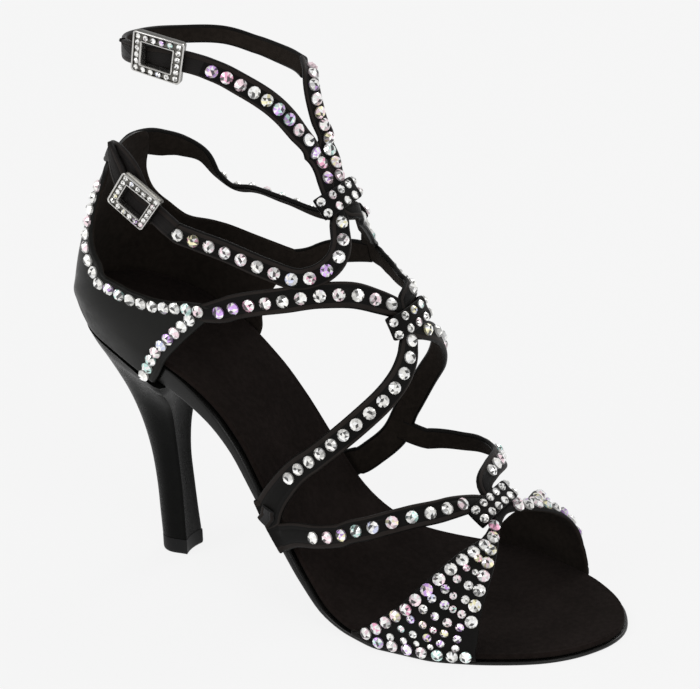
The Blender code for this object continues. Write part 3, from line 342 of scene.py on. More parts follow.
def unit(vectors):
    return vectors / np.maximum(np.linalg.norm(vectors, axis=-1, keepdims=True), 1e-12)


def sole_line(along):
    """x, z and both half widths of the insole's top at a place along it."""
    a = np.clip(np.asarray(along, float), 0, 1)
    z = INSOLE_THICKNESS + GAP + FOREPART_SOLE + HEEL_RISE * smooth(a, SOLE[:, 0], SOLE[:, 1])
    arc = np.arccos(1 - 2 * a)
    arcs = np.arccos(1 - 2 * SOLE[:, 0])
    lateral, medial = (BALL_WIDTH * smooth(arc, arcs, SOLE[:, k]) for k in (2, 3))
    return a * SHOE_LENGTH, z, lateral, medial


def sole_thickness(along):
    bulk = smooth(along, SOLE_BULK[:, 0], SOLE_BULK[:, 1])
    return FOREPART_SOLE + (SHANK_SOLE - FOREPART_SOLE) * bulk


def side_height(along):
    return INSOLE_THICKNESS + GAP + sole_thickness(along)


def together(*values):
    """Numbers and arrays brought to one shape."""
    return np.broadcast_arrays(*(np.asarray(value, float) for value in values))


def edge_point(along, side, drop, outset=0.0):
    """The sole's side: a point under the sole line, leant in under the seat, moved out level."""
    a, side, drop, outset = together(along, side, drop, outset)
    x, z, lateral, medial = sole_line(a)
    point = np.stack([x, np.where(side < 0, -lateral, medial), z], -1)
    (x0, z0, *_), (x1, z1, *_) = (sole_line(np.clip(a + e, 0, 1)) for e in (-0.004, 0.004))
    slope = np.arctan2(z0 - z1, x1 - x0)
    down = np.stack([-np.sin(slope), 0 * a, -np.cos(slope)], -1)
    inward = np.zeros_like(point)
    inward[..., :2] = unit(np.array([SEAT_CENTRE * SHOE_LENGTH, 0.0]) - point[..., :2])
    lean = SEAT_TAPER * (1 - ramp(a, *SEAT_TAPER_ENDS))
    near = np.clip(a, 0.0004, 0.9996)
    wide = np.minimum(near, 1 - near) * 0.5
    (xa, _, la, ma), (xb, _, lb, mb) = (sole_line(near + e) for e in (-wide, wide))
    dy = np.where(side < 0, lb - la, mb - ma)
    out = np.stack([-dy, side * (xb - xa), 0 * a], -1)
    point = point + (down + inward * lean[..., None]) * drop[..., None]
    return point + unit(out) * outset[..., None]


def last_point(station, angle):
    """The last's section at a station: an egg, its halves two powers of sine and cosine."""
    t, angle = together(station, angle)
    angle = (angle + 180) % 360 - 180
    along = smooth(t, np.arange(len(LAST)), LAST[:, 0])
    x, z, lateral, medial = sole_line(along)
    foot_x = x + INSTEP_REACH * flow(t, LAST[:, 2])
    foot_z = z + LEG_HEIGHT * flow(t, LAST[:, 1])
    outer = angle < 0
    edge = np.where(outer, lateral, medial)
    widest = BALL_WIDTH * np.where(outer, flow(t, LAST[:, 5]), flow(t, LAST[:, 6]))
    level = flow(t, LAST[:, 7])
    turn = np.radians(np.abs(angle))
    c = np.abs(np.cos(turn)) ** (2 / flow(t, LAST[:, 8]))
    s = np.abs(np.sin(turn))
    upper = np.abs(angle) <= 90
    share = np.where(upper, level + (1 - level) * c, level - level * c)
    low = edge + (widest - edge) * s ** flow(t, LAST[:, 9])
    half = np.where(upper, widest * s ** (2 / flow(t, LAST[:, 8])), low)
    top_x = INSTEP_REACH * flow(t, LAST[:, 3])
    top_z = INSTEP_REACH * flow(t, LAST[:, 4])
    y = np.where(outer, -half, half)
    return np.stack([foot_x + share * top_x, y, foot_z + share * top_z], -1)


def strap_point(station, angle):
    """The last, and past 180 degrees the sole's side below it."""
    t, angle = together(station, angle)
    on_sole = t < ANKLE_FROM
    past = np.where(on_sole, np.maximum(np.abs(angle) - 180, 0), 0)
    held = np.where(on_sole, np.clip(angle, -179.999, 179.999), angle)
    along = smooth(t, np.arange(len(LAST)), LAST[:, 0])
    side = np.where(angle < 0, -1.0, 1.0)
    drop = past * INSOLE_THICKNESS / EDGE_DEGREES
    return last_point(t, held) + edge_point(along, side, drop) - edge_point(along, side, 0 * drop)


def laid(station, angle, move):
    """Station and angle moved by a vector laid back into the last's surface."""
    here = strap_point(station, angle)
    by_t = (strap_point(station + 1e-3, angle) - here) / 1e-3
    by_a = strap_point(station, angle + 1) - here
    aa = (by_t * by_t).sum(-1)
    ab = (by_t * by_a).sum(-1)
    bb = (by_a * by_a).sum(-1)
    ma = (move * by_t).sum(-1)
    mb = (move * by_a).sum(-1)
    det = aa * bb - ab * ab
    return station + (ma * bb - mb * ab) / det, angle + (mb * aa - ma * ab) / det


def step_on_last(station, angle, ahead, across, parts=6):
    """Goes a straight way along the last: ahead towards the ankle, across towards medial."""
    t, a, ahead, across = together(station, angle, ahead, across)
    length = np.hypot(ahead, across)
    here = strap_point(t, a)
    one = unit(strap_point(t + 1e-3, a) - here)
    two = np.cross(unit(np.cross(one, strap_point(t, a + 1) - here)), one)
    way = one * ahead[..., None] + two * across[..., None]
    for _ in range(parts):
        here = strap_point(t, a)
        normal = unit(np.cross(strap_point(t + 1e-3, a) - here, strap_point(t, a + 1) - here))
        move = way - normal * (way * normal).sum(-1, keepdims=True)
        t, a = laid(t, a, unit(move) * (length / parts)[..., None])
    return t, a


def surface_normal(station, angle):
    t = np.asarray(station, float)
    a = np.asarray(angle, float)
    by_t = strap_point(t + 1e-3, a) - strap_point(t - 1e-3, a)
    by_a = strap_point(t, a + 0.5) - strap_point(t, a - 0.5)
    return unit(np.cross(by_a, by_t))


# ---------------------------------------------------------------- making meshes
def ride(made, stands_for):
    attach(made, "root")
    if stands_for:
        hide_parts(stands_for)
    return made


def placed(name, data):
    """An object in the scene, at the origin and unturned."""
    made = bpy.data.objects.new(name, data)
    bpy.context.scene.collection.objects.link(made)
    return made


def way_along(points):
    """How far each point is from the first of its line, which runs along the first axis."""
    steps = np.linalg.norm(np.diff(points, axis=0), axis=-1)
    return np.concatenate([np.zeros_like(steps[:1]), np.cumsum(steps, axis=0)])


def skin(
    name, grid, looks, round_rows=False, round_columns=False, ends=False, look_of=None, sharp=50,
):
    """Quads over a grid of points, with each corner's way along rows and columns as its UV.

    The UV is in metres: the mean length of the grid's lines up to that row or column.
    """
    grid = np.asarray(grid, float) + SHIFT
    n, m = grid.shape[:2]
    rows, columns = np.arange(n - (not round_rows)), np.arange(m - (not round_columns))
    i, j = (index.reshape(-1) for index in np.meshgrid(rows, columns, indexing="ij"))
    corners = ((i, j), (i + 1, j), (i + 1, j + 1), (i, j + 1))
    quads = np.stack([(a % n) * m + b % m for a, b in corners], -1)
    row_step = np.linalg.norm(np.roll(grid, -1, axis=0) - grid, axis=-1).mean(axis=1)
    column_step = np.linalg.norm(np.roll(grid, -1, axis=1) - grid, axis=-1).mean(axis=0)
    u = np.concatenate([[0], np.cumsum(row_step)])
    v = np.concatenate([[0], np.cumsum(column_step)])
    uv = np.stack([np.stack([u[a], v[b]], -1) for a, b in corners], 1).reshape(-1, 2)
    faces = quads.tolist()
    kinds = np.zeros(len(faces), int) if look_of is None else look_of(i, j)
    if ends:
        faces += [list(range(m)), list(range((n - 1) * m, n * m))]
        uv = np.concatenate([uv, np.zeros((2 * m, 2))])
        kinds = np.concatenate([kinds, [0, 0]])
    mesh = bpy.data.meshes.new(name)
    mesh.from_pydata(grid.reshape(-1, 3), [], faces)
    layer = mesh.uv_layers.new(name="cloth")
    layer.data.foreach_set("uv", uv.astype(np.float32).reshape(-1))
    for look in looks:
        mesh.materials.append(look)
    mesh.polygons.foreach_set("material_index", np.asarray(kinds, np.int32))
    work = bmesh.new()
    work.from_mesh(mesh)
    bmesh.ops.remove_doubles(work, verts=work.verts, dist=3e-6)
    bmesh.ops.dissolve_degenerate(work, edges=work.edges, dist=2e-6)
    bmesh.ops.recalc_face_normals(work, faces=work.faces)
    work.to_mesh(mesh)
    work.free()
    mesh.shade_smooth()
    mesh.set_sharp_from_angle(angle=np.radians(sharp))
    return placed(name, mesh)


def outward(grid):
    """A grid's normals, turned away from its middle."""
    normals = unit(np.cross(np.gradient(grid, axis=0), np.gradient(grid, axis=1)))
    from_middle = grid - grid.mean(axis=(0, 1))
    return normals * np.sign((normals * from_middle).sum(-1).mean())


def edge_ways(grid):
    """How far each point of a grid is from each of its four borders, along the grid's lines."""
    from_first = way_along(grid)
    from_left = way_along(grid.swapaxes(0, 1)).T
    return from_first, from_first[-1:] - from_first, from_left, from_left[:, -1:] - from_left


def lens(way, wall):
    """Half a wall's thickness at a way in from its border: a half circle, then level."""
    share = np.clip(way / (wall / 2), 0, 1)
    return wall / 2 * np.sqrt(np.maximum(1 - (1 - share) ** 2, 0))


# The binding's ridge and the trough behind it: ways in from the border where each starts and ends
BINDING_RISE = (0.0, 0.0008)
BINDING_FALL = (0.0022, 0.0027)
TROUGH_RISE = (0.0030, 0.0038)


def wall_piece(name, grid, normals, lift, wall, looks, binding):
    """A wall over a grid, its borders rounded as half circles.

    Both faces stand off the middle by the half circle of the nearest border's way. A binding
    adds a low ridge inside each border of its own, with a shallow trough behind it.
    """
    ways = edge_ways(grid)
    near = np.min(ways, axis=0)
    middle = grid + normals * (lift + wall / 2)
    half = lens(near, wall)
    bound = np.min(ways[1:], axis=0)
    ridge = ramp(bound, *BINDING_RISE) - 1.6 * ramp(bound, *BINDING_FALL)
    ridge = binding * (ridge + 0.6 * ramp(bound, *TROUGH_RISE))
    outer = middle + normals * (half + ridge)[..., None]
    inner = middle - normals * half[..., None]
    both = np.concatenate([outer, inner[::-1]])
    rows = len(grid)
    return skin(
        name, both, looks, round_rows=True,
        look_of=lambda i, j: ((i >= rows) & (i < 2 * rows - 1)).astype(int),
    )


def spaced(path, normals, first, last, count):
    """Places at equal ways along a path between two shares of its length."""
    way = way_along(path)

    def along(values, at):
        return np.stack([np.interp(at, way, values[:, k]) for k in range(3)], -1)

    at = np.linspace(first, last, count) * way[-1]
    e = 0.002 * way[-1]
    ahead = along(path, at + e) - along(path, at - e)
    return along(path, at), unit(along(normals, at)), unit(ahead)


# ---------------------------------------------------------------- straps
def strap_section():
    """Round a strap's section: side from -1 to 1, how much of the corner's radius, height over
    its inner face as a share of the wall, and look.

    Its outer face is crowned, with a stitch line near each edge, and both edges are half
    circles of the folded satin.
    """
    turn = np.radians(np.array([-90, -60, -30, 0, 30, 60, 90]))
    top = np.array([-1, -0.72, -0.66, -0.60, -0.3, 0, 0.3, 0.60, 0.66, 0.72, 1.0])
    groove = np.array([0, 0, -0.05, 0, 0, 0, 0, 0, -0.05, 0, 0])
    crown = STRAP_CROWN * (1 - top**2)
    side = np.concatenate([np.ones(7), top[-2:0:-1], -np.ones(7), [-0.5, 0, 0.5]])
    corner = np.concatenate([np.cos(turn), np.zeros(9), -np.cos(turn[::-1]), np.zeros(3)])
    height = np.concatenate([
        0.5 + 0.5 * np.sin(turn), (1 + crown + groove)[-2:0:-1],
        0.5 + 0.5 * np.sin(turn[::-1]), np.zeros(3),
    ])
    look = np.zeros(len(side), int)
    look[-4:] = 1
    # The upper shoulders of both rounded edges take the lighter edge satin: a painted sheen where
    # the edges turn to the light.
    look[[4, 5, 15, 16]] = 2
    return side, corner, height, look


def full_rows(rows):
    """A strap's rows. One that stops early has the whole width, lies flat and isn't tilted."""
    return np.array([row + (1, 0, 0)[len(row) - 2:] for row in rows], float)


def turned(across, normal, angle, way):
    """Across and normal turned about the strap's length by an angle, to the side of way."""
    cos = np.cos(angle)[:, None]
    sin = np.sin(angle)[:, None]
    return across * cos - way * normal * sin, normal * cos + way * across * sin


def strap_frame(rows, width, layer, at, twist=0.0, taut=()):
    """At places along a strap's rows: centre of its inner face, across, out, half width and
    how far each edge falls with the last."""
    rows = full_rows(rows)
    index = np.arange(len(rows))

    def centre_at(place):
        held = strap_point(flow(place, rows[:, 0]), flow(place, rows[:, 1]))
        for start, end, share in taut:
            one, two = strap_point(rows[[start, end], 0], rows[[start, end], 1])
            t = np.clip((place - start) / (end - start), 0, 1)
            pull = share * ramp(t, 0, 0.3) * (1 - ramp(t, 0.7, 1))
            line = one + (two - one) * t[:, None]
            held = held + (line - held) * pull[:, None]
        return held

    station = flow(at, rows[:, 0])
    angle = flow(at, rows[:, 1])
    half = 0.5 * width * smooth(at, index, rows[:, 2])
    lift = GAP + layer * LAYER + STRAP_WALL * smooth(at, index, rows[:, 3])
    tilt = np.radians(smooth(at, index, rows[:, 4]))
    centre = centre_at(at)
    normal = surface_normal(station, angle)
    low = np.clip(at - 0.06, 0, index[-1])
    high = np.clip(at + 0.06, 0, index[-1])
    ahead = unit(centre_at(high) - centre_at(low))
    normal = unit(normal - ahead * (normal * ahead).sum(-1, keepdims=True))
    across = np.cross(normal, ahead)
    across, normal = turned(across, normal, tilt, np.sign(across[:, 2:3] + 1e-9))
    swing = np.radians(twist) * ramp(at, *TWIST_STARTS) * (1 - ramp(at, *TWIST_ENDS))
    across, normal = turned(across, normal, swing, np.sign(-across[:, 1:2] + 1e-9))
    fall = []
    for way in (-1, 1):
        there = strap_point(*laid(station, angle, across * (half * way)[:, None]))
        drop = np.clip(((there - centre) * normal).sum(-1), *FALL_LIMITS)
        fall.append(np.where(np.abs(tilt) > 0.02, 0, drop))
    return centre + normal * lift[:, None], across, normal, half, np.array(fall)


def strap_places(rows, step=STRAP_STEP):
    """Places along the rows about a step apart."""
    rows = full_rows(rows)
    fine = np.linspace(0, len(rows) - 1, 40 * len(rows))
    way = way_along(strap_point(flow(fine, rows[:, 0]), flow(fine, rows[:, 1])))
    count = max(int(way[-1] / step), 12)
    return np.interp(np.linspace(0, way[-1], count), way, fine)


def strap_piece(name, rows, width, layer, looks, ribbed_from=NEVER, twist=0.0, taut=()):
    """A strap: its rounded section swept along the last, bent down at both edges as it falls."""
    at = strap_places(rows)
    base, across, normal, half, fall = strap_frame(rows, width, layer, at, twist, taut)
    side, corner, height, look = strap_section()
    radius = STRAP_WALL / 2
    over = side[None, :] * (half[:, None] - radius) + corner[None, :] * radius
    share = np.clip(over / half[:, None], -1, 1)
    drop = np.where(share < 0, fall[0][:, None], fall[1][:, None]) * share**2
    up = height[None, :] * STRAP_WALL + drop
    # Gathered ribs along the plain stretch by the buckle
    gathers = np.sin(share * 4.5 * np.pi) * ramp(at, ribbed_from, ribbed_from + 0.3)[:, None]
    up = up + gathers * (height[None, :] > 0.9) * GATHER
    grid = base[:, None] + across[:, None] * over[..., None] + normal[:, None] * up[..., None]

    def look_of(i, j):
        kind = look[j % len(look)]
        return np.where((kind == 0) & (at[np.minimum(i, len(at) - 1)] > ribbed_from), 3, kind)

    return skin(name, grid, looks, round_columns=True, ends=True, look_of=look_of)


# ---------------------------------------------------------------- counter and vamp
def shares(count, ease=(0.0, 0.002, 0.006, 0.014, 0.025)):
    """Shares from 0 to 1, close together near both ends for a rounded border."""
    ease = np.array(ease)
    return np.concatenate([ease, np.linspace(0.04, 0.96, count), 1 - ease[::-1]])


def counter_grid():
    """The counter: from the heel's rim up the sole's side and the last to the topline."""
    u = 2 * shares(150, (0.0, 0.0012, 0.004, 0.009, 0.017, 0.027)) - 1
    along = np.where(u < 0, COUNTER_ENDS[0], COUNTER_ENDS[1]) * u * u
    side = np.where(u < 0, -1.0, 1.0)
    top_station = smooth(u, TOPLINE[:, 0], TOPLINE[:, 1])
    top_angle = smooth(u, TOPLINE[:, 0], TOPLINE[:, 2])
    stations = np.linspace(7, 10, 301)
    places = smooth(stations, np.arange(len(LAST)), LAST[:, 0])
    foot_station = np.interp(-along, -places, stations)
    foot_angle = np.where(u < 0, -179.99, -180.01)
    low = [edge_point(along, side, s * side_height(along)) for s in CUFF_SHARES]
    high_shares = np.concatenate([np.linspace(0.0, 0.97, 50), [0.98, 0.988, 0.994, 0.998, 1.0]])
    high = [
        last_point(
            foot_station + (top_station - foot_station) * share,
            foot_angle + (top_angle - foot_angle) * share,
        )
        for share in high_shares
    ]
    grid = np.array(low + high)
    normals = outward(grid)
    # The cup's wall draws in at the back of the topline.
    rise = np.concatenate([np.zeros(len(low)), high_shares])[:, None]
    station = foot_station + (top_station - foot_station) * rise
    from_back = np.abs((top_angle + 180) * rise)
    draw = COLLAR_DRAW * ramp(station, *DRAW_STATIONS) * (1 - ramp(from_back, *DRAW_ANGLES))
    grid = grid - normals * (draw * (rise > 0))[..., None]
    # And it swells evenly from the heel's rim to its widest place: a cubic between the two.
    top = len(low) + SWELL_ROWS
    cup = grid[: top + 1]
    way = way_along(grid)
    t = (way[: top + 1] / way[top])[..., None]
    span = way[top][:, None]
    start = unit(grid[top] - grid[0] + SWELL_LEAN * span * normals[top]) * span
    end = unit(grid[top + 2] - grid[top - 1]) * span
    swell = cubic(t, grid[0], grid[top], start, end)
    fuller = np.maximum(((swell - cup) * normals[: top + 1]).sum(-1), 0)
    grid[: top + 1] += normals[: top + 1] * fuller[..., None]
    for _ in range(SWELL_SMOOTHINGS):
        grid[1:-1] = 0.25 * grid[:-2] + 0.5 * grid[1:-1] + 0.25 * grid[2:]
    return grid, outward(grid)


def vamp_grid():
    """The vamp: over the forefoot from its front to its rear edge, and down the sole's sides."""
    past = np.array([185, 190, 195, 198, 199.4, 200])
    angles = np.concatenate([-past[::-1], np.linspace(-180, 180, 181), past])
    front = smooth(angles, VAMP[:, 0], VAMP[:, 1])
    rear = smooth(angles, VAMP[:, 0], VAMP[:, 2])
    grid = np.array([strap_point(front + (rear - front) * s, angles) for s in shares(40)])
    return grid, outward(grid)


# ---------------------------------------------------------------- materials
class Wiring:
    """Adds nodes to a tree: each call gives the node's first output."""

    def __init__(self, tree):
        self.tree = tree

    def node(self, kind, *sources, **settings):
        made = self.tree.nodes.new(kind)
        for key, value in settings.items():
            setattr(made, key, value)
        for slot, source in enumerate(sources):
            self.put(made.inputs[slot], source)
        return made

    def put(self, socket, source):
        if source is None:
            return
        if isinstance(source, bpy.types.NodeSocket):
            self.tree.links.new(source, socket)
        else:
            socket.default_value = source

    def math(self, operation, *sources, clamp=False):
        made = self.node("ShaderNodeMath", *sources, operation=operation, use_clamp=clamp)
        return made.outputs[0]

    def noise(self, vector, scale, detail=3.0, rough=0.55):
        made = self.node("ShaderNodeTexNoise", vector, noise_dimensions="3D")
        made.inputs["Scale"].default_value = scale
        made.inputs["Detail"].default_value = detail
        made.inputs["Roughness"].default_value = rough
        return made.outputs[0]

    def spread(self, value, low, high, to_low=0.0, to_high=1.0):
        made = self.node("ShaderNodeMapRange", value, low, high, to_low, to_high)
        made.interpolation_type = "SMOOTHSTEP"
        return made.outputs[0]

    def blend(self, factor, one, two):
        made = self.node("ShaderNodeMix", data_type="RGBA")
        self.put(made.inputs[0], factor)
        self.put(made.inputs[6], one)
        self.put(made.inputs[7], two)
        return made.outputs[2]


def effect(name, inputs, outputs, build):
    """A shader node group with named inputs and outputs, built once."""
    tree = bpy.data.node_groups.new(name, "ShaderNodeTree")
    for label, kind, value in inputs:
        socket = tree.interface.new_socket(label, in_out="INPUT", socket_type=kind)
        if value is not None:
            socket.default_value = value
    for label, kind in outputs:
        tree.interface.new_socket(label, in_out="OUTPUT", socket_type=kind)
    start = tree.nodes.new("NodeGroupInput")
    end = tree.nodes.new("NodeGroupOutput")
    wires = Wiring(tree)
    for label, source in build(wires, start.outputs).items():
        tree.links.new(source, end.inputs[label])
    return tree


def satin_build(w, given):
    """Satin floats: ridges of warp thread, each broken by a step that shifts from thread to
    thread, so the height is the ridge's sine times a mix of the step's sine."""
    scaled = w.node("ShaderNodeVectorMath", given["Cloth"], operation="SCALE")
    w.put(scaled.inputs["Scale"], given["Threads"])
    apart = w.node("ShaderNodeSeparateXYZ", scaled.outputs[0])
    warp = apart.outputs[1]
    ridge = w.math("ABSOLUTE", w.math("SINE", w.math("MULTIPLY", warp, np.pi)))
    step = w.math("MULTIPLY", w.math("FLOOR", warp), 0.4)
    float_at = w.math("ADD", w.math("MULTIPLY", apart.outputs[0], 0.2), step)
    knit = w.math("ABSOLUTE", w.math("SINE", w.math("MULTIPLY", float_at, np.pi)))
    height = w.math("MULTIPLY", ridge, w.math("ADD", w.math("MULTIPLY", knit, 0.35), 0.65))
    uneven = w.noise(given["Place"], 240.0, 2.0)
    broad = w.noise(given["Place"], 38.0, 3.0)
    shade = w.math("ADD", w.math("MULTIPLY", uneven, 0.45), w.math("MULTIPLY", broad, 0.55))
    return {"Height": height, "Shade": w.spread(shade, 0.3, 0.7)}


def nap_build(w, given):
    """Suede nap: fine fibres in height, and brushed patches where the nap lies another way."""
    fibre = w.noise(given["Place"], 2600.0, 3.0, 0.7)
    tuft = w.noise(given["Place"], 520.0, 3.0, 0.6)
    height = w.math("ADD", w.math("MULTIPLY", fibre, 0.6), w.math("MULTIPLY", tuft, 0.4))
    brushed = w.spread(w.noise(given["Place"], 26.0, 4.0, 0.6), 0.40, 0.62)
    grain = w.math("MULTIPLY", w.math("ADD", brushed, w.spread(tuft, 0.35, 0.65)), 0.5)
    return {"Height": height, "Patch": grain}


def wear_build(w, given):
    """Small scuffs and dust: a stretched noise cut high, thinned by a broad one."""
    streak = w.node("ShaderNodeMapping", given["Place"])
    streak.inputs["Scale"].default_value = (1.0, 1.0, 0.25)
    fine = w.noise(streak.outputs[0], 620.0, 4.0, 0.7)
    broad = w.noise(given["Place"], 70.0, 2.0)
    cut = w.spread(fine, 0.60, 0.74)
    return {"Mask": w.math("MULTIPLY", cut, w.spread(broad, 0.42, 0.62))}


PLACE = ("Place", "NodeSocketVector", None)
FLOAT = "NodeSocketFloat"
SATIN = effect(
    "satin_floats", (("Cloth", "NodeSocketVector", None), PLACE, ("Threads", FLOAT, 5000.0)),
    (("Height", FLOAT), ("Shade", FLOAT)), satin_build,
)
NAP = effect("suede_nap", (PLACE,), (("Height", FLOAT), ("Patch", FLOAT)), nap_build)
WEAR = effect("scuffs", (PLACE,), (("Mask", FLOAT),), wear_build)


def grouped(w, tree, **given):
    made = w.tree.nodes.new("ShaderNodeGroup")
    made.node_tree = tree
    for label, source in given.items():
        w.put(made.inputs[label], source)
    return made.outputs


def finish_of(name, **sockets):
    """A material whose constants are set on its own shader. Gives it, its wiring and its shader."""
    made = bpy.data.materials.new(name)
    made.use_nodes = True
    shader = made.node_tree.nodes["Principled BSDF"]
    for label, value in sockets.items():
        shader.inputs[label.replace("_", " ")].default_value = value
    return made, Wiring(made.node_tree), shader


def dressed(w, shader, mask, one, two, roughness, height, strength, reach):
    """Wires a shader: two colours mixed by a mask, a roughness and a bump by a height."""
    w.put(shader.inputs["Base Color"], w.blend(mask, (*one, 1), (*two, 1)))
    w.put(shader.inputs["Roughness"], roughness)
    bump = w.node("ShaderNodeBump")
    bump.inputs["Strength"].default_value = strength
    bump.inputs["Distance"].default_value = reach
    w.put(bump.inputs["Height"], height)
    w.put(shader.inputs["Normal"], bump.outputs[0])


def satin_finish(name, dark, light, rough, gloss=0.08, threads=4200.0, strength=0.35):
    """Satin: two near blacks mixed by the cloth's shade, gloss by its thread, bump by floats."""
    made, w, shader = finish_of(
        name, Specular_IOR_Level=gloss, Sheen_Weight=0.01, Sheen_Roughness=0.35,
    )
    place = w.node("ShaderNodeTexCoord").outputs
    cloth = grouped(w, SATIN, Cloth=place["UV"], Place=place["Object"], Threads=threads)
    shade, height = cloth["Shade"], cloth["Height"]
    roughness = w.spread(shade, 0.0, 1.0, rough - 0.05, rough + 0.07)
    dressed(w, shader, shade, dark, light, roughness, height, strength, 0.00006)
    return made


def suede_finish(name, dark, light, strength=0.5):
    """Suede: dull, two browns mixed by how the nap lies."""
    made, w, shader = finish_of(
        name, Specular_IOR_Level=0.04, Sheen_Weight=0.01, Sheen_Roughness=0.6,
    )
    nap = grouped(w, NAP, Place=w.node("ShaderNodeTexCoord").outputs["Object"])
    roughness = w.spread(nap["Patch"], 0.0, 1.0, 0.98, 0.86)
    dressed(w, shader, nap["Patch"], dark, light, roughness, nap["Height"], strength, 0.0002)
    return made


def rubber_finish(name, dark, worn_pale):
    """Hard rubber: dull grey black, paler where it is scuffed."""
    made, w, shader = finish_of(name, Specular_IOR_Level=0.12)
    place = w.node("ShaderNodeTexCoord").outputs["Object"]
    scuffs = grouped(w, WEAR, Place=place)["Mask"]
    roughness = w.spread(scuffs, 0.0, 1.0, 0.5, 0.85)
    grain = w.noise(place, 1500.0, 3.0)
    dressed(w, shader, scuffs, dark, worn_pale, roughness, grain, 0.25, 0.0001)
    return made


def silver_finish(name, bright, dull):
    """Plated metal: bright, a little warmer and duller where hands have rubbed it."""
    made, w, shader = finish_of(name, Metallic=1.0)
    place = w.node("ShaderNodeTexCoord").outputs["Object"]
    scuffs = grouped(w, WEAR, Place=place)["Mask"]
    haze = w.noise(place, 320.0, 3.0)
    roughness = w.math(
        "ADD", w.spread(haze, 0.3, 0.7, 0.16, 0.28), w.math("MULTIPLY", scuffs, 0.2)
    )
    dressed(w, shader, haze, bright, dull, roughness, haze, 0.08, 0.00008)
    return made


def crystal_finish(name):
    """Foiled crystal: each facet has its own tint and a painted brightness that stands in for
    reflections of light and dark, under a clear coat, and gives the same colour off as a faint
    painted glow.
    """
    made, w, shader = finish_of(
        name, Metallic=0.55, Roughness=0.10, Coat_Weight=1.0, Coat_Roughness=0.03,
        Specular_IOR_Level=0.8, Emission_Strength=0.27,
    )
    facet = w.node("ShaderNodeAttribute", attribute_name="facet")
    cloud = w.noise(w.node("ShaderNodeTexCoord").outputs["Object"], 2200.0, 1.0)
    shade = w.node("ShaderNodeVectorMath", facet.outputs["Color"], operation="SCALE")
    w.put(shade.inputs["Scale"], w.spread(cloud, 0.25, 0.75, 0.80, 1.0))
    # The facet colour, with its painted reflections, feeds the emission too: the stones glow
    # faintly though they are no lamp.
    for label in ("Base Color", "Emission Color"):
        w.put(shader.inputs[label], shade.outputs[0])
    return made


satin = satin_finish("black_satin", (0.0024, 0.0021, 0.0019), (0.0044, 0.0040, 0.0036), 0.40)
# The counter's satin: a little more gloss, and a lighter, greener colour than the straps' satin
# that paints in its broad sheen.
counter_satin_painted_sheen = satin_finish(
    "counter_satin_painted_sheen", (0.0036, 0.0036, 0.0030), (0.0060, 0.0060, 0.0050), 0.34, 0.13,
)
heel_satin = satin_finish(
    "heel_satin", (0.0022, 0.0023, 0.0021), (0.0036, 0.0038, 0.0034), 0.28, 0.050,
)
shank_satin = satin_finish(
    "shank_satin", (0.0024, 0.0024, 0.0022), (0.0040, 0.0040, 0.0036), 0.24, 0.30,
)
# A lighter, warmer satin laid only on the upper shoulders of the straps' rounded edges: painted
# sheen.
painted_edge_sheen = satin_finish("satin_painted_edge_sheen", (0.0120, 0.0092, 0.0080), (0.0200, 0.0160, 0.0140), 0.45)
ribbed = satin_finish(
    "ribbed_satin", (0.0060, 0.0052, 0.0050), (0.0130, 0.0115, 0.0110), 0.5, 0.10, 1500.0, 0.9,
)
keeper_satin = satin_finish(
    "keeper_satin", (0.0190, 0.0186, 0.0192), (0.0290, 0.0286, 0.0292), 0.36, 0.12,
)
lining = suede_finish("black_lining", (0.0120, 0.0094, 0.0076), (0.0200, 0.0155, 0.0125), 0.3)
insole_suede = suede_finish("insole_suede", (0.0074, 0.0052, 0.0044), (0.0128, 0.0090, 0.0078))
sole_suede = suede_finish("sole_suede", (0.018, 0.018, 0.018), (0.050, 0.049, 0.047), 0.8)
rubber = rubber_finish("tip_rubber", (0.0080, 0.0080, 0.0082), (0.030, 0.029, 0.028))
silver = silver_finish("buckle_silver", (0.72, 0.71, 0.69), (0.50, 0.49, 0.47))
# Darker metal for the buckle's channel and outer wall: painted shade in the channel and painted
# dark reflection on the wall.
painted_shade_metal = silver_finish("buckle_painted_shade", (0.16, 0.155, 0.14), (0.09, 0.086, 0.078))
crystal = crystal_finish("foiled_crystal_painted_glow")


# ---------------------------------------------------------------- upper
def on_upper(made):
    ride(made, "upper")


def pulled(strap):
    """How a strap is twisted, and the stretches where it is pulled straight."""
    return TWISTS.get(strap, 0.0), TAUT.get(strap, ())


counter_rows, counter_out = counter_grid()
on_upper(wall_piece(
    "counter", counter_rows, counter_out, GAP, COUNTER_WALL, (counter_satin_painted_sheen, lining), 0.00022,
))
vamp_rows, vamp_out = vamp_grid()
on_upper(wall_piece("vamp", vamp_rows, vamp_out, GAP, VAMP_WALL, (satin, lining), 0.00014))
for piece, rows, width, layer, *_ in STRAPS:
    on_upper(strap_piece(
        piece, rows, width, layer, (satin, lining, painted_edge_sheen, ribbed),
        RIBBED_FROM.get(piece, NEVER), *pulled(piece),
    ))
on_upper(strap_piece(
    "waist_keeper", KEEPER, WAIST_STRAP_WIDTH, 2, (keeper_satin, lining, painted_edge_sheen),
))


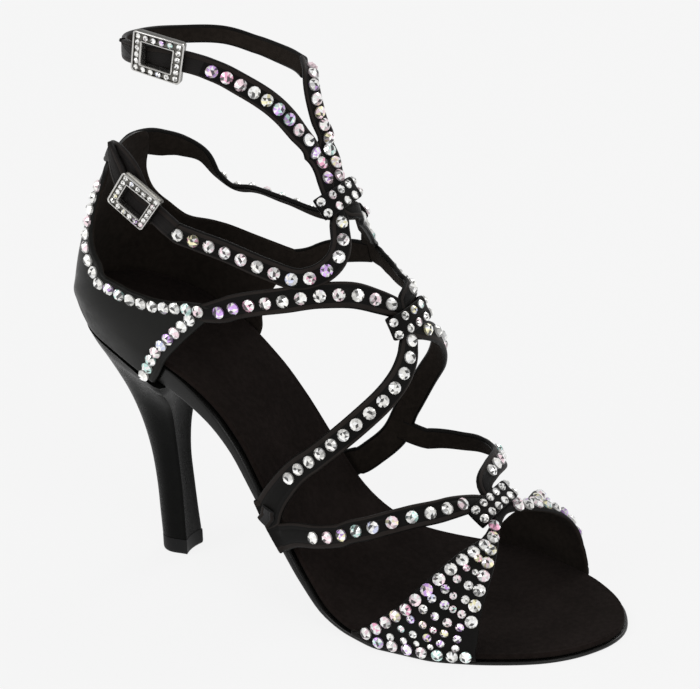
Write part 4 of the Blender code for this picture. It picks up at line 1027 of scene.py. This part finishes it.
# ---------------------------------------------------------------- sole, insole and heel
def insole_piece():
    """The insole: a board between the sole line's two edges, dished a little, its rim rounded."""
    along = 0.5 * (1 - np.cos(np.linspace(0, np.pi, 161)))
    over = np.sin(np.linspace(-np.pi / 2, np.pi / 2, 41))
    shy = 0.7 * GAP + INSOLE_SHY * ramp(along, 0.20, 0.32) * (1 - ramp(along, 0.46, 0.60))
    lateral = edge_point(along, -1, INSOLE_THICKNESS / 2, -shy)
    medial = edge_point(along, 1, INSOLE_THICKNESS / 2, -shy)
    middle = 0.5 * (lateral + medial)
    reach = 0.5 * np.linalg.norm(medial - lateral, axis=-1)
    grid = middle[:, None] + (0.5 * (medial - lateral))[:, None] * over[None, :, None]
    up = unit(np.cross(np.gradient(middle, axis=0), np.array([0.0, 1.0, 0.0])))
    up = up * np.sign(up[:, 2:3])
    way = reach[:, None] * (1 - np.abs(over))[None]
    trough = 0.00012 * ramp(way, 0.0012, 0.0018) * (1 - ramp(way, 0.0024, 0.0032))
    half = lens(way * 1.2, INSOLE_THICKNESS) - trough
    top = grid + up[:, None] * half[..., None]
    low = grid - up[:, None] * half[..., None]
    both = np.concatenate([top, low[:, ::-1]], axis=1)
    return skin("suede_insole", both, (insole_suede,), round_columns=True)


def sole_piece():
    """The sole: side walls wrapped in satin, bulged a little, and a suede face underneath."""
    along = 0.5 * (1 - np.cos(np.linspace(0, np.pi, 161)))
    top = INSOLE_THICKNESS + GAP
    low = side_height(along)
    lip = SOLE_LIP * ramp(along, 0.48, 0.58)
    radius = np.minimum(0.0007, 0.42 * (low - top))
    turns = np.radians([0, 22.5, 45, 67.5, 90])
    # Down each side: round the upper corner, then round the lower one
    corners = [(top, 1, t) for t in turns[::-1]] + [(low, -1, t) for t in turns]
    lateral, medial = (
        [
            edge_point(
                along, side, level + inward * radius * (1 - np.sin(t)),
                lip - radius * (1 - np.cos(t)),
            )
            for level, inward, t in corners
        ]
        for side in (-1, 1)
    )
    across = np.linspace(0, 1, 15)[1:-1]
    ring = list(lateral)
    ring += [lateral[-1] + (medial[-1] - lateral[-1]) * s for s in across]
    ring += medial[::-1]
    ring += [medial[0] + (lateral[0] - medial[0]) * s for s in across]
    grid = np.stack(ring, 1)
    under = len(lateral)
    return skin(
        "wrapped_sole", grid, (shank_satin, sole_suede), round_columns=True,
        look_of=lambda i, j: ((j >= under - 1) & (j < under + len(across))).astype(int),
    )


def seat_ring(count, wall, drop):
    """The heel's rim round the seat, a wall's thickness out and a drop down."""
    u = np.linspace(-1, 1, count)
    along = HEEL_BREAST / SHOE_LENGTH * u * u
    side = np.where(u < 0, -1.0, 1.0)
    slope = np.arctan(SEAT_TAPER)
    down = wall * np.sin(slope) + drop
    outset = wall * np.cos(slope) + SEAT_TAPER * down
    return edge_point(along, side, side_height(along) + down, outset)


def closed(ring, bow, count=9):
    """A D ring closed by its breast: from corner to corner, hollowed by a parabola."""
    t = np.linspace(0, 1, count + 2)[1:-1, None]
    start, end = ring[-1], ring[0]
    breast = start + (end - start) * t - np.array([1.0, 0, 0]) * bow * 4 * t * (1 - t)
    return np.concatenate([ring, breast])


def heel_round(u):
    """The heel's D section: a half ellipse at the back that runs out straight to the breast."""
    share = u * u
    y = np.sign(u) * np.sqrt(np.maximum(1 - (1 - np.minimum(share / 0.5, 1)) ** 2, 0))
    return share, y * (1 - 0.10 * ramp(share, 0.5, 1.0))


def heel_piece():
    """The heel: D sections that turn into the seat's outline as they rise."""
    count = 61
    rim = seat_ring(count, GAP + COUNTER_WALL, 1.3 * GAP)
    inner = seat_ring(count, -GAP, 1.3 * GAP)
    u = np.linspace(-1, 1, count)
    back = rim[count // 2]
    front = 0.5 * (rim[0] + rim[-1])
    widest = np.abs(rim[:, 1]).max()
    seat_x = (rim[:, 0] - back[0]) / (front[0] - back[0])
    seat_y = rim[:, 1] / widest
    seat_z = rim[:, 2] - back[2]
    share, round_y = heel_round(u)
    start = TOP_PIECE_HEIGHT + GAP
    tip_front = HEEL_TIP_BACK + HEEL_TIP_LENGTH
    rings = []
    for level in np.linspace(0, len(HEEL) - 1, 8 * (len(HEEL) - 1) + 1)[:-1]:
        up, b, f, w, follow = (flow(level, HEEL[:, k]) for k in range(5))
        x_back = HEEL_TIP_BACK + (back[0] - HEEL_TIP_BACK) * b
        x_front = tip_front + (front[0] - tip_front) * f
        half = 0.5 * HEEL_TIP_WIDTH + (widest - 0.5 * HEEL_TIP_WIDTH) * w
        x = x_back + (x_front - x_back) * (share + (seat_x - share) * follow)
        y = half * (round_y + (seat_y - round_y) * follow) - HEEL_TIP_LATERAL * (1 - w)
        z = start + (back[2] - start) * up + seat_z * follow
        rings.append(closed(np.stack([x, y, z], -1), (x_front - x_back) * BREAST_HOLLOW))
    rings += [closed(ring, 0.0015) for ring in (rim, inner)]
    # Each ring's breast corners are turned round, so the covered edge isn't sharp.
    grid = np.array(rings)
    eased = 0.25 * np.roll(grid, 1, axis=1) + 0.5 * grid + 0.25 * np.roll(grid, -1, axis=1)
    eased[-1] = grid[-1]
    middle = eased[-1].mean(axis=0)
    lid = np.array([middle + (eased[-1] - middle) * s for s in (0.66, 0.33, 0.0)])
    base = eased[0].mean(axis=0)
    foot = np.array([base + (eased[0] - base) * s for s in (0.0, 0.5, 0.96)])
    solid = np.concatenate([foot, eased, lid])
    return skin("covered_heel", solid, (heel_satin,), round_columns=True, sharp=38)


def tip_piece():
    """The rubber tip: the heel's D, its floor edge worn round."""
    u = np.linspace(-1, 1, 61)
    share, y = heel_round(u)
    top = TOP_PIECE_HEIGHT
    levels = (
        (0.0, 0.0), (0.0, 0.5), (0.0, 0.93), (0.0002, 0.965), (0.0006, 0.99), (0.0012, 1.0),
        (top - 0.0004, 1.0), (top, 0.985), (top, 0.5), (top, 0.0),
    )
    rings = []
    for z, grow in levels:
        x = HEEL_TIP_BACK + HEEL_TIP_LENGTH * (0.5 + (share - 0.5) * grow)
        out = 0.5 * HEEL_TIP_WIDTH * y * grow - HEEL_TIP_LATERAL
        ring = np.stack([x, out, 0 * x + z], -1)
        rings.append(closed(ring, HEEL_TIP_LENGTH * BREAST_HOLLOW * grow))
    return skin("rubber_tip", np.array(rings), (rubber,), round_columns=True, sharp=38)


ride(insole_piece(), "insole")
ride(sole_piece(), "sole")
ride(heel_piece(), "heel")
ride(tip_piece(), "heel_tip")


# ---------------------------------------------------------------- wraps and buckles
def rounded(width, height, radius, more=0, each=7):
    """A rounded rectangle from its right side, with more points on its two long sides."""
    points = []
    for turn, (sx, sy) in enumerate(((1, 1), (-1, 1), (-1, -1), (1, -1))):
        a = np.pi / 2 * (turn + np.arange(each) / (each - 1))
        points.append(np.stack([
            sx * (width / 2 - radius) + radius * np.cos(a),
            sy * (height / 2 - radius) + radius * np.sin(a),
        ], -1))
        if turn in (0, 2) and more:
            x = (1 - 2 * np.arange(1, more + 1) / (more + 1)) * (width / 2 - radius)
            points.append(np.stack([sx * x, 0 * x + sy * height / 2], -1))
    return np.concatenate(points)


BUNDLE = STRAP_WALL + 4 * LAYER
WRAP_HOLE = BUNDLE + 3 * GAP
WRAP_CENTRE = GAP + LAYER / 2 + BUNDLE / 2
WRAP_HALF = 0.5 * WRAP_HOLE + WRAP_WALL


def off_last(station, angle, ahead, across, rise):
    """Points a way ahead and across from a place on the last, raised off it, and the way out."""
    t, a = step_on_last(station, angle, ahead, across)
    out = surface_normal(t, a)
    return strap_point(t, a) + out * np.asarray(rise)[..., None], out


def wrap_piece(name, station, angle, share):
    """A wrap: a satin band round the crossing straps, its open ends rolled in."""
    width = WRAP_WIDTH * share
    hole = rounded(width - 2 * WRAP_WALL, WRAP_HOLE, WRAP_ROUND - WRAP_WALL, 15)
    body = rounded(width, WRAP_HOLE + 2 * WRAP_WALL, WRAP_ROUND, 15)
    turn = np.radians(np.linspace(0, 180, 9))
    rings = []
    # The rolled ends: half circles from the hole out to the body, at each end of the band.
    for end, turns in ((-1, turn), (1, turn[::-1])):
        for t in turns:
            mix = 0.5 * (1 - np.cos(t))
            rings.append((hole + (body - hole) * mix, end * (0.5 - (1 - np.sin(t)) * 0.06)))
        if end < 0:
            for place in np.linspace(-0.40, 0.40, 9):
                rings.append((body * np.array([1, 1 + 0.03 * np.cos(place * np.pi)]), place))
    rings += [(hole, place) for place in np.linspace(0.40, -0.40, 3)]
    grid = [
        off_last(station, angle, ahead * WRAP_BAND, shape[:, 0], WRAP_CENTRE + shape[:, 1])[0]
        for shape, ahead in rings
    ]
    return skin(name + "_band", grid, (satin,), round_rows=True, round_columns=True)


def buckle_place(station, angle, turn, across, ahead, rise):
    """Points at a way across and ahead of a buckle's middle, at a height over its strap."""
    swing = np.radians(turn)
    over = across * np.cos(swing) - ahead * np.sin(swing)
    on = across * np.sin(swing) + ahead * np.cos(swing)
    base = 2.06 * STRAP_WALL + 2 * GAP + 4 * LAYER
    return off_last(station, angle, on, over, base + rise)


def buckle_piece(name, station, angle, turn):
    """A buckle frame: a channel for its crystals between two thin bright rims, with darker metal
    that paints shade in the channel and a dark reflection on the outer wall.
    """
    # Places through the rim from the opening outwards (share) and heights (share)
    section = (
        (0.00, 0.00), (0.00, 0.70), (0.02, 0.90), (0.06, 0.97), (0.12, 0.97), (0.16, 0.90),
        (0.18, 0.76), (0.50, 0.74), (0.82, 0.76), (0.84, 0.92), (0.88, 1.00), (0.95, 1.00),
        (0.99, 0.95), (1.00, 0.86), (1.00, 0.10), (0.97, 0.02), (0.90, 0.00), (0.50, 0.00),
    )
    grid = []
    for through, rise in section:
        inset = 2 * BUCKLE_RIM * (1 - through)
        radius = 0.0004 + 0.0006 * through
        x, y = rounded(BUCKLE_LENGTH - inset, BUCKLE_WIDTH - inset, radius).T
        grid.append(buckle_place(station, angle, turn, x, y, rise * BUCKLE_THICKNESS)[0])
    # Rows 5 to 8, the channel's floor, and rows 13 on, the outer wall and underside, take the
    # darker metal: painted shade and painted dark reflection.
    return skin(
        name + "_frame", grid, (silver, painted_shade_metal), round_rows=True, round_columns=True, sharp=40,
        look_of=lambda i, j: (((i >= 5) & (i <= 8)) | (i >= 13)).astype(int),
    )


for piece, *place, _ in WRAPS:
    ride(wrap_piece(piece, *place), piece)
for piece, *place in BUCKLES:
    ride(buckle_piece(piece, *place), piece)

# ---------------------------------------------------------------- crystals
# The tints that a crystal's facets may take, and how often in each mix
TINTS = np.array((
    (1.00, 0.99, 0.95), (1.00, 0.78, 0.84), (0.74, 0.44, 0.98), (1.00, 0.46, 0.66),
    (0.60, 0.90, 0.84), (0.98, 0.92, 0.58), (0.72, 0.76, 1.00),
))
MIXES = {
    "clear": (0.88, 0.04, 0.01, 0.00, 0.03, 0.02, 0.02),
    "mixed": (0.60, 0.13, 0.09, 0.03, 0.05, 0.06, 0.04),
    "rows": (0.78, 0.09, 0.04, 0.01, 0.02, 0.04, 0.02),
    "rose": (0.42, 0.27, 0.06, 0.11, 0.03, 0.09, 0.02),
    "violet": (0.30, 0.20, 0.22, 0.15, 0.06, 0.04, 0.03),
    "sea": (0.46, 0.10, 0.08, 0.02, 0.26, 0.04, 0.04),
}
# A crystal of radius 1: radius and height of its table, girdle and foot, and its peak
TABLE = (0.54, 0.78)
GIRDLE = (1.00, 0.30)
FOOT = (0.98, -0.05)
PEAK = 0.80
# Below the first share a facet takes its stone's own tint, above the second it is clear
TINT_SHARES = (0.40, 0.66)
# Painted reflections: how many crown facets are painted dark, how dark those and the table's wedge
# are, and the girdle's painted light
PAINTED_DARK_FACETS = 0.13
PAINTED_DARK_CROWN = 0.08
PAINTED_DARK_TABLE = 0.06
PAINTED_GIRDLE_LIGHT = 0.45


def crystal_ring(count, radius, height):
    turn = 2 * np.pi / count * np.arange(count)
    return np.stack([radius * np.cos(turn), radius * np.sin(turn), 0 * turn + height], -1)


def crystal_shape():
    """A flat-backed crystal of radius 1: six table facets, eighteen crown facets, a girdle
    wall of twelve sides and a flat back. Gives points, triangles and each one's facet."""
    points = np.concatenate([
        [[0, 0, PEAK]], crystal_ring(6, *TABLE), crystal_ring(12, *GIRDLE),
        crystal_ring(12, *FOOT),
    ])
    k = np.arange(6)
    n = (k + 1) % 6
    m = np.arange(12)
    o = (m + 1) % 12
    back = np.arange(1, 11)
    table, girdle, foot = 1, 7, 19
    groups = [np.stack(corners, -1) for corners in (
        (0 * k, table + k, table + n),
        (table + k, girdle + 2 * k + 1, table + n),
        (table + k, girdle + 2 * k, girdle + 2 * k + 1),
        (table + n, girdle + 2 * k + 1, girdle + (2 * k + 2) % 12),
        (girdle + m, foot + m, foot + o),
        (girdle + m, foot + o, girdle + o),
        (0 * back + foot, foot + back + 1, foot + back),
    )]
    kinds = np.repeat(np.arange(len(groups)), [len(group) for group in groups])
    return points, np.concatenate(groups), kinds


def crystals(name, stones, seed):
    """All the crystals of one kind as one mesh: each shape turned into its own frame.

    stones is a list of (centre, out, ahead, diameter, mix), each a row of places.
    """
    points, triangles, kind = crystal_shape()
    chance = np.random.default_rng(seed)
    centre = np.concatenate([s[0] for s in stones]) + SHIFT
    out = unit(np.concatenate([s[1] for s in stones]))
    ahead = np.concatenate([s[2] for s in stones])
    ahead = unit(ahead - out * (ahead * out).sum(-1, keepdims=True))
    radius = 0.5 * np.concatenate([np.broadcast_to(s[3], len(s[0])) for s in stones])
    count = len(centre)
    spin = chance.uniform(0, np.pi / 3, count)[:, None]
    cos, sin, over = np.cos(spin), np.sin(spin), np.cross(out, ahead)
    ahead, over = ahead * cos + over * sin, over * cos - ahead * sin
    x, y, z = (points[None] * radius[:, None, None]).transpose(2, 0, 1)[..., None]
    world = centre[:, None] + ahead[:, None] * x + over[:, None] * y + out[:, None] * z
    faces = (triangles[None] + len(points) * np.arange(count)[:, None, None]).reshape(-1, 3)
    weight = np.concatenate([np.tile(MIXES[s[4]], (len(s[0]), 1)) for s in stones])
    heaped = np.cumsum(weight, axis=1)
    own, second = (
        TINTS[np.minimum((chance.random(count)[:, None] > heaped).sum(1), 6)][:, None]
        for _ in range(2)
    )
    pick = chance.random((count, len(triangles)))
    tint = np.where(pick[..., None] < TINT_SHARES[0], own, second)
    tint = np.where(pick[..., None] > TINT_SHARES[1], 1.0, tint)
    # Painted reflections in each stone's facet colours: its pale side, its dark wedge in the table
    # and the glints between them
    middle = points[triangles].mean(axis=1)
    round_it = np.arctan2(middle[:, 1], middle[:, 0])[None] + spin
    toward = chance.normal(0.0, 0.7, (count, 1))
    painted_crown_light = 0.80 + 0.26 * np.cos(round_it - toward) + chance.normal(0.0, 0.16, pick.shape)
    painted_crown_light = np.where(chance.random(pick.shape) < PAINTED_DARK_FACETS, PAINTED_DARK_CROWN, painted_crown_light)
    wedge = np.cos(round_it - toward - chance.uniform(2.0, 4.3, (count, 1)))
    painted_table_light = np.where(wedge > chance.uniform(-0.1, 0.85, (count, 1)), PAINTED_DARK_TABLE, 0.98)
    painted_table_light = painted_table_light * chance.uniform(0.75, 1.0, pick.shape)
    light = np.where(kind[None] == 0, painted_table_light, painted_crown_light)
    light = np.clip(np.where(kind[None] >= 4, PAINTED_GIRDLE_LIGHT, light), 0.04, 1.0)
    shade = np.ones((count, len(triangles), 4))
    shade[..., :3] = np.clip(tint * light[..., None], 0.02, 1.0)
    mesh = bpy.data.meshes.new(name)
    mesh.from_pydata(world.reshape(-1, 3), [], faces)
    facet = mesh.attributes.new("facet", "FLOAT_COLOR", "CORNER")
    corners = np.repeat(shade.reshape(-1, 4), 3, axis=0).astype(np.float32)
    facet.data.foreach_set("color", corners.reshape(-1))
    mesh.materials.append(crystal)
    return ride(placed(name, mesh), None)


strap_stones = []
for piece, rows, width, layer, first, last, count, mix, aside, size in STRAPS:
    if count:
        at = np.linspace(first, last, 240)
        base, across, normal, _, _ = strap_frame(rows, width, layer, at, *pulled(piece))
        top = base + normal * STRAP_WALL * (1 + STRAP_CROWN)
        top = top + across * np.sign(across[:, 2:3]) * aside
        strap_stones.append((*spaced(top, normal, 0, 1, count), STRAP_CRYSTAL * size, mix))
crystals("strap_crystals", strap_stones, 3)


def inset_row(grid, normals, border, inset, lift):
    """A line that keeps a way inside one border of a grid, and the normals there."""
    g, n, w = grid, normals, edge_ways(grid)[border]
    if border in (2, 3):
        g, n, w = g.swapaxes(0, 1), n.swapaxes(0, 1), w.T
    if border in (1, 3):
        g, n, w = g[::-1], n[::-1], w[::-1]
    above = np.argmax(w >= inset, axis=0)
    column = np.arange(g.shape[1])
    low = np.maximum(above - 1, 0)
    share = (inset - w[low, column]) / np.maximum(w[above, column] - w[low, column], 1e-9)
    point = g[low, column] + (g[above, column] - g[low, column]) * share[:, None]
    return point + n[above, column] * lift, n[above, column]


def border_stones(grid, normals, top, borders, mix):
    """Rows of strap crystals that keep a way inside a grid's borders."""
    rows = []
    for border, inset, first, last, count in borders:
        line = inset_row(grid, normals, border, inset, top)
        rows.append((*spaced(*line, first, last, count), STRAP_CRYSTAL, mix))
    return rows


counter_stones = border_stones(
    counter_rows, counter_out, GAP + COUNTER_WALL, COUNTER_BORDERS, "rows",
)
crystals("counter_crystals", counter_stones, 5)

VAMP_TOP = GAP + VAMP_WALL


def on_vamp(angle, share):
    """Places on the vamp's outer face by angle and share, with the way ahead there."""
    front = smooth(angle, VAMP[:, 0], VAMP[:, 1])
    rear = smooth(angle, VAMP[:, 0], VAMP[:, 2])
    station = front * (1 - share) + rear * share
    here = strap_point(station, angle)
    out = surface_normal(station, angle)
    return here + out * VAMP_TOP, out, unit(strap_point(station, angle + 1) - here)


vamp_stones = border_stones(vamp_rows, vamp_out, VAMP_TOP, VAMP_BORDERS, "rose")
for side in (1, -1):
    angle, share, size = VAMP_FIELD.T
    vamp_stones.append((*on_vamp(side * angle, share), size * STRAP_CRYSTAL, "mixed"))
    low_row = on_vamp(side * np.full(7, -168.0), np.linspace(0.77, 0.08, 7))
    vamp_stones.append((*low_row, 0.95 * STRAP_CRYSTAL, "sea"))
crystals("vamp_crystals", vamp_stones, 7)

knot_stones = []
for _, station, angle, share, count in WRAPS:
    half = 0.5 * WRAP_WIDTH * share
    across = np.linspace(0.0009 - half, half - 0.0009, count)
    past = np.maximum(np.abs(across) - (half - WRAP_ROUND), 0)
    lean = np.arcsin(np.clip(past / WRAP_ROUND, 0, 0.94)) * np.sign(across)
    rise = WRAP_CENTRE + WRAP_HALF - WRAP_ROUND * (1 - np.cos(lean))
    for ahead in (-0.27, 0.27):
        point, out = off_last(station, angle, ahead * WRAP_BAND, across, rise)
        over = unit(np.gradient(point, axis=0))
        out = out * np.cos(lean)[:, None] + over * np.sin(lean)[:, None]
        knot_stones.append((point, out, np.cross(out, over), KNOT_CRYSTAL, "clear"))
crystals("knot_crystals", knot_stones, 11)

buckle_stones = []
for _, station, angle, turn in BUCKLES:
    x = np.linspace(-0.5, 0.5, 6) * (BUCKLE_LENGTH - BUCKLE_RIM)
    y = np.linspace(-0.5, 0.5, 6)[1:-1] * (BUCKLE_WIDTH - BUCKLE_RIM)
    side, end = 0 * y + x[-1], 0 * x + 0.5 * (BUCKLE_WIDTH - BUCKLE_RIM)
    across = np.concatenate([x, x, -side, side])
    ahead = np.concatenate([-end, end, y, y])
    point, out = buckle_place(station, angle, turn, across, ahead, 0.74 * BUCKLE_THICKNESS)
    upward = np.tile([0.0, 0.0, 1.0], (len(across), 1))
    buckle_stones.append((point, out, upward, BUCKLE_CRYSTAL, "clear"))
crystals("buckle_crystals", buckle_stones, 13)


# ---------------------------------------------------------------- floor, light and camera
def floor_piece():
    """A plain pale floor, wide enough to fill every view."""
    made, w, shader = finish_of(
        "pale_floor", Roughness=0.9, Specular_IOR_Level=0.0, Emission_Strength=1.0,
    )
    cloud = w.noise(w.node("ShaderNodeTexCoord").outputs["Object"], 2.0, 2.0)
    for label, low, high in (("Base Color", 0.060, 0.062), ("Emission Color", 0.860, 0.865)):
        w.put(shader.inputs[label], w.blend(cloud, (low, low, low, 1), (high, high, high, 1)))
    mesh = bpy.data.meshes.new("floor")
    reach = FLOOR_REACH
    corners = [(-reach, -reach, 0), (reach, -reach, 0), (reach, reach, 0), (-reach, reach, 0)]
    mesh.from_pydata(corners, [], [(0, 1, 2, 3)])
    mesh.materials.append(made)
    placed("floor", mesh)


def aimed(place, target, roll=0.0):
    """A matrix at a place that looks along -Z at a target."""
    back = unit(np.array(place) - np.array(target))
    right = unit(np.cross([0.0, 0.0, 1.0], back))
    up = np.cross(back, right)
    matrix = np.eye(4)
    matrix[:3, 0] = np.cos(roll) * right - np.sin(roll) * up
    matrix[:3, 1] = np.sin(roll) * right + np.cos(roll) * up
    matrix[:3, 2] = back
    matrix[:3, 3] = place
    return Matrix(matrix.tolist())


def softbox(name, place, target, width, height, power):
    light = bpy.data.lights.new(name, "AREA")
    light.shape = "RECTANGLE"
    light.size = width
    light.size_y = height
    light.energy = power
    placed(name, light).matrix_world = aimed(place, target)


floor_piece()
world = bpy.data.worlds.new("studio")
bpy.context.scene.world = world
world.use_nodes = True
background = world.node_tree.nodes["Background"].inputs
background[0].default_value = (1.0, 1.0, 1.0, 1.0)
background[1].default_value = 0.62
MIDDLE = (0.07, 0.0, 0.08)
softbox("key", (-0.9, -1.3, 1.5), MIDDLE, 0.9, 0.9, 11.0)
softbox("fill", (1.3, -0.6, 1.1), MIDDLE, 0.8, 0.8, 5.0)
softbox("back", (0.2, 1.5, 1.2), MIDDLE, 0.8, 0.5, 5.0)

# The camera at the photo's angle: azimuth, elevation and roll in degrees, its aim and distance
AZIMUTH = 30.197
ELEVATION = 24.840
ROLL = 2.446
AIM = np.array([0.0685, 0.003, 0.070])
DISTANCE = 1.4019
IMAGE_WIDTH = 700
IMAGE_HEIGHT = 689
FOCAL_PIXELS = 2970.485 * DISTANCE
CENTRE_PIXEL = (347.757, 395.207)
camera_data = bpy.data.cameras.new("photo_camera")
camera = placed("photo_camera", camera_data)
bpy.context.scene.camera = camera
round_z, up = np.radians([AZIMUTH, ELEVATION])
toward = np.array([
    np.sin(round_z) * np.cos(up), -np.cos(round_z) * np.cos(up), np.sin(up),
])
camera.matrix_world = aimed(AIM + toward * DISTANCE, AIM, np.radians(ROLL))
camera_data.sensor_width = 36
camera_data.lens = 36 * FOCAL_PIXELS / IMAGE_WIDTH
camera_data.shift_x = (IMAGE_WIDTH / 2 - CENTRE_PIXEL[0]) / IMAGE_WIDTH
camera_data.shift_y = (CENTRE_PIXEL[1] - IMAGE_HEIGHT / 2) / IMAGE_WIDTH
bpy.context.scene.view_settings.view_transform = "Standard"
